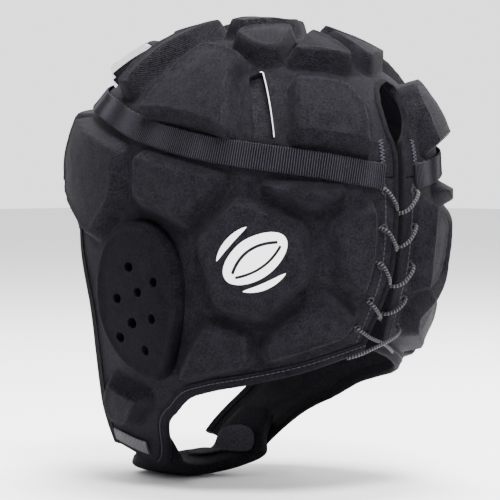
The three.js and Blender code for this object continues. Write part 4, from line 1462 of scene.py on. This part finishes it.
def motif_polygons():
    """A plain oval ball with its seams, and trailing strokes beside it."""
    tilt = math.radians(38)
    turn = np.array([[math.cos(tilt), math.sin(tilt)], [-math.sin(tilt), math.cos(tilt)]])
    t = np.linspace(0, FULL_TURN, 84, endpoint=False)
    ball = np.stack([signed_power(np.cos(t), 1.2), np.sin(t)], -1) * BALL_HALF_SIZE
    seams = [arc_band((-12.8, 0), (12.8, 0), 4.6, 1.5, taper=False),
             arc_band((-12.8, -2.2), (12.8, -2.2), -3.2, 1.3, taper=False)]
    shapes = [(ball, seams)]
    strokes = [arc_band((-15, 9.5), (6, 14.5), 1.6, 3.2),
               arc_band((-13.5, -9.5), (7, -14.5), -1.6, 3.2)]
    shapes += [(stroke, []) for stroke in strokes]
    return [(outline @ turn, [o @ turn for o in openings]) for outline, openings in shapes]


class SCRUMCAP_OT_stage(bpy.types.Operator):
    """Pale floor, soft lights and the camera"""
    bl_idname = "scrumcap.stage"
    bl_label = "Stage"

    def execute(self, context):
        self.floor()
        self.world()
        self.lights()
        self.camera()
        return {"FINISHED"}

    def floor(self):
        level = CAD_BOX[0][2] - 0.0005
        bpy.ops.object.select_all(action="DESELECT")
        bpy.ops.mesh.primitive_plane_add(size=12.0, location=(0, 0, level))
        floor = bpy.context.active_object
        floor.name = "floor"
        nodes = Nodes("floor_paper")
        grain = nodes.noise(nodes.place(), 300.0, 2.0)
        tone = nodes.mix(grain, (0.84, 0.84, 0.845, 1), (0.87, 0.87, 0.875, 1))
        floor.data.materials.append(nodes.set(base_color=tone, roughness=0.8))

    def world(self):
        """Room light that is brighter above, and behind the cap as the photo shows it."""
        world = bpy.data.worlds.new("studio")
        bpy.context.scene.world = world
        world.use_nodes = True
        tree = world.node_tree

        def ranged(source, low, high, least, most):
            node = tree.nodes.new("ShaderNodeMapRange")
            tree.links.new(source, node.inputs[0])
            for socket, value in zip(node.inputs[1:5], (low, high, least, most)):
                socket.default_value = value
            return node.outputs[0]

        background = tree.nodes["Background"]
        background.inputs[0].default_value = (1.0, 1.0, 1.0, 1.0)
        direction = tree.nodes.new("ShaderNodeTexCoord").outputs["Generated"]
        split = tree.nodes.new("ShaderNodeSeparateXYZ")
        facing = tree.nodes.new("ShaderNodeVectorMath")
        facing.operation = "DOT_PRODUCT"
        facing.inputs[1].default_value = (-0.707, -0.707, 0.0)
        total = tree.nodes.new("ShaderNodeMath")
        tree.links.new(direction, split.inputs[0])
        tree.links.new(direction, facing.inputs[0])
        tree.links.new(ranged(split.outputs[2], 0.1, 0.9, 0.5, 1.7), total.inputs[0])
        tree.links.new(ranged(facing.outputs["Value"], 0.4, 0.95, 0.0, 1.6), total.inputs[1])
        tree.links.new(total.outputs[0], background.inputs[1])

    def lights(self):
        towards, right = camera_axes()
        centre = np.array([0, 0, -0.11])
        for name, side, out, up, size, power in (
            ("key", 0.2, 1.0, 1.7, 0.6, 84), ("fill", 1.3, 0.7, 0.5, 0.9, 3),
            ("top", 0.1, -0.2, 1.7, 0.7, 106), ("rim", 1.1, -0.9, 0.9, 0.7, 18),
        ):
            data = bpy.data.lights.new(name, "AREA")
            data.energy, data.size = power, size
            light = bpy.data.objects.new(name, data)
            light.location = centre + right * side + towards * out + np.array([0, 0, up])
            aim = Vector(centre) - light.location
            light.rotation_euler = aim.to_track_quat("-Z", "Y").to_euler()
            bpy.context.scene.collection.objects.link(light)

    def camera(self):
        towards, right = camera_axes()
        rise, distance, lens = math.radians(2.0), 1.4, 187.5
        centre, aside, above = np.array([0, 0, -0.1125]), -0.00296, -0.0008
        back = towards * math.cos(rise) + np.array([0, 0, math.sin(rise)])
        up = np.cross(back, right)
        up = up if up[2] > 0 else -up
        aim = centre + right * aside + up * above
        data = bpy.data.cameras.new("photo_view")
        data.sensor_width, data.lens = 36.0, lens
        data.clip_end = 20
        camera = bpy.data.objects.new("photo_view", data)
        camera.location = aim + back * distance
        camera.rotation_euler = Vector(-back).to_track_quat("-Z", "Y").to_euler()
        bpy.context.scene.collection.objects.link(camera)
        bpy.context.scene.camera = camera


def camera_axes():
    """Level direction from the cap to the camera, and the image's right."""
    share = math.sqrt(0.5)
    return np.array([share, share, 0.0]), np.array([-share, share, 0.0])


class SCRUMCAP_PT_panel(bpy.types.Panel):
    bl_label = "Scrum cap"
    bl_idname = "SCRUMCAP_PT_panel"
    bl_space_type = "VIEW_3D"
    bl_region_type = "UI"
    bl_category = "Scrum cap"

    def draw(self, context):
        for group in (context.scene.scrum_cap_sizes, context.scene.scrum_cap_colours):
            for name in group.__annotations__:
                self.layout.prop(group, name)
        for operator in OPERATORS:
            self.layout.operator(operator.bl_idname)


OPERATORS = (
    SCRUMCAP_OT_stage, SCRUMCAP_OT_crown, SCRUMCAP_OT_sides, SCRUMCAP_OT_ears,
    SCRUMCAP_OT_bindings, SCRUMCAP_OT_webbing, SCRUMCAP_OT_elastic, SCRUMCAP_OT_strap,
    SCRUMCAP_OT_lacing, SCRUMCAP_OT_motif,
)
CLASSES = (ScrumCapSizes, ScrumCapColours, *OPERATORS, SCRUMCAP_PT_panel)


def register():
    for item in CLASSES:
        bpy.utils.register_class(item)
    bpy.types.Scene.scrum_cap_sizes = bpy.props.PointerProperty(type=ScrumCapSizes)
    bpy.types.Scene.scrum_cap_colours = bpy.props.PointerProperty(type=ScrumCapColours)


def unregister():
    del bpy.types.Scene.scrum_cap_sizes
    del bpy.types.Scene.scrum_cap_colours
    for item in reversed(CLASSES):
        bpy.utils.unregister_class(item)


def main():
    register()
    bpy.ops.object.select_all(action="DESELECT")
    for operator in OPERATORS:
        group, call = operator.bl_idname.split(".")
        getattr(getattr(bpy.ops, group), call)()


if __name__ == "__main__":
    main()
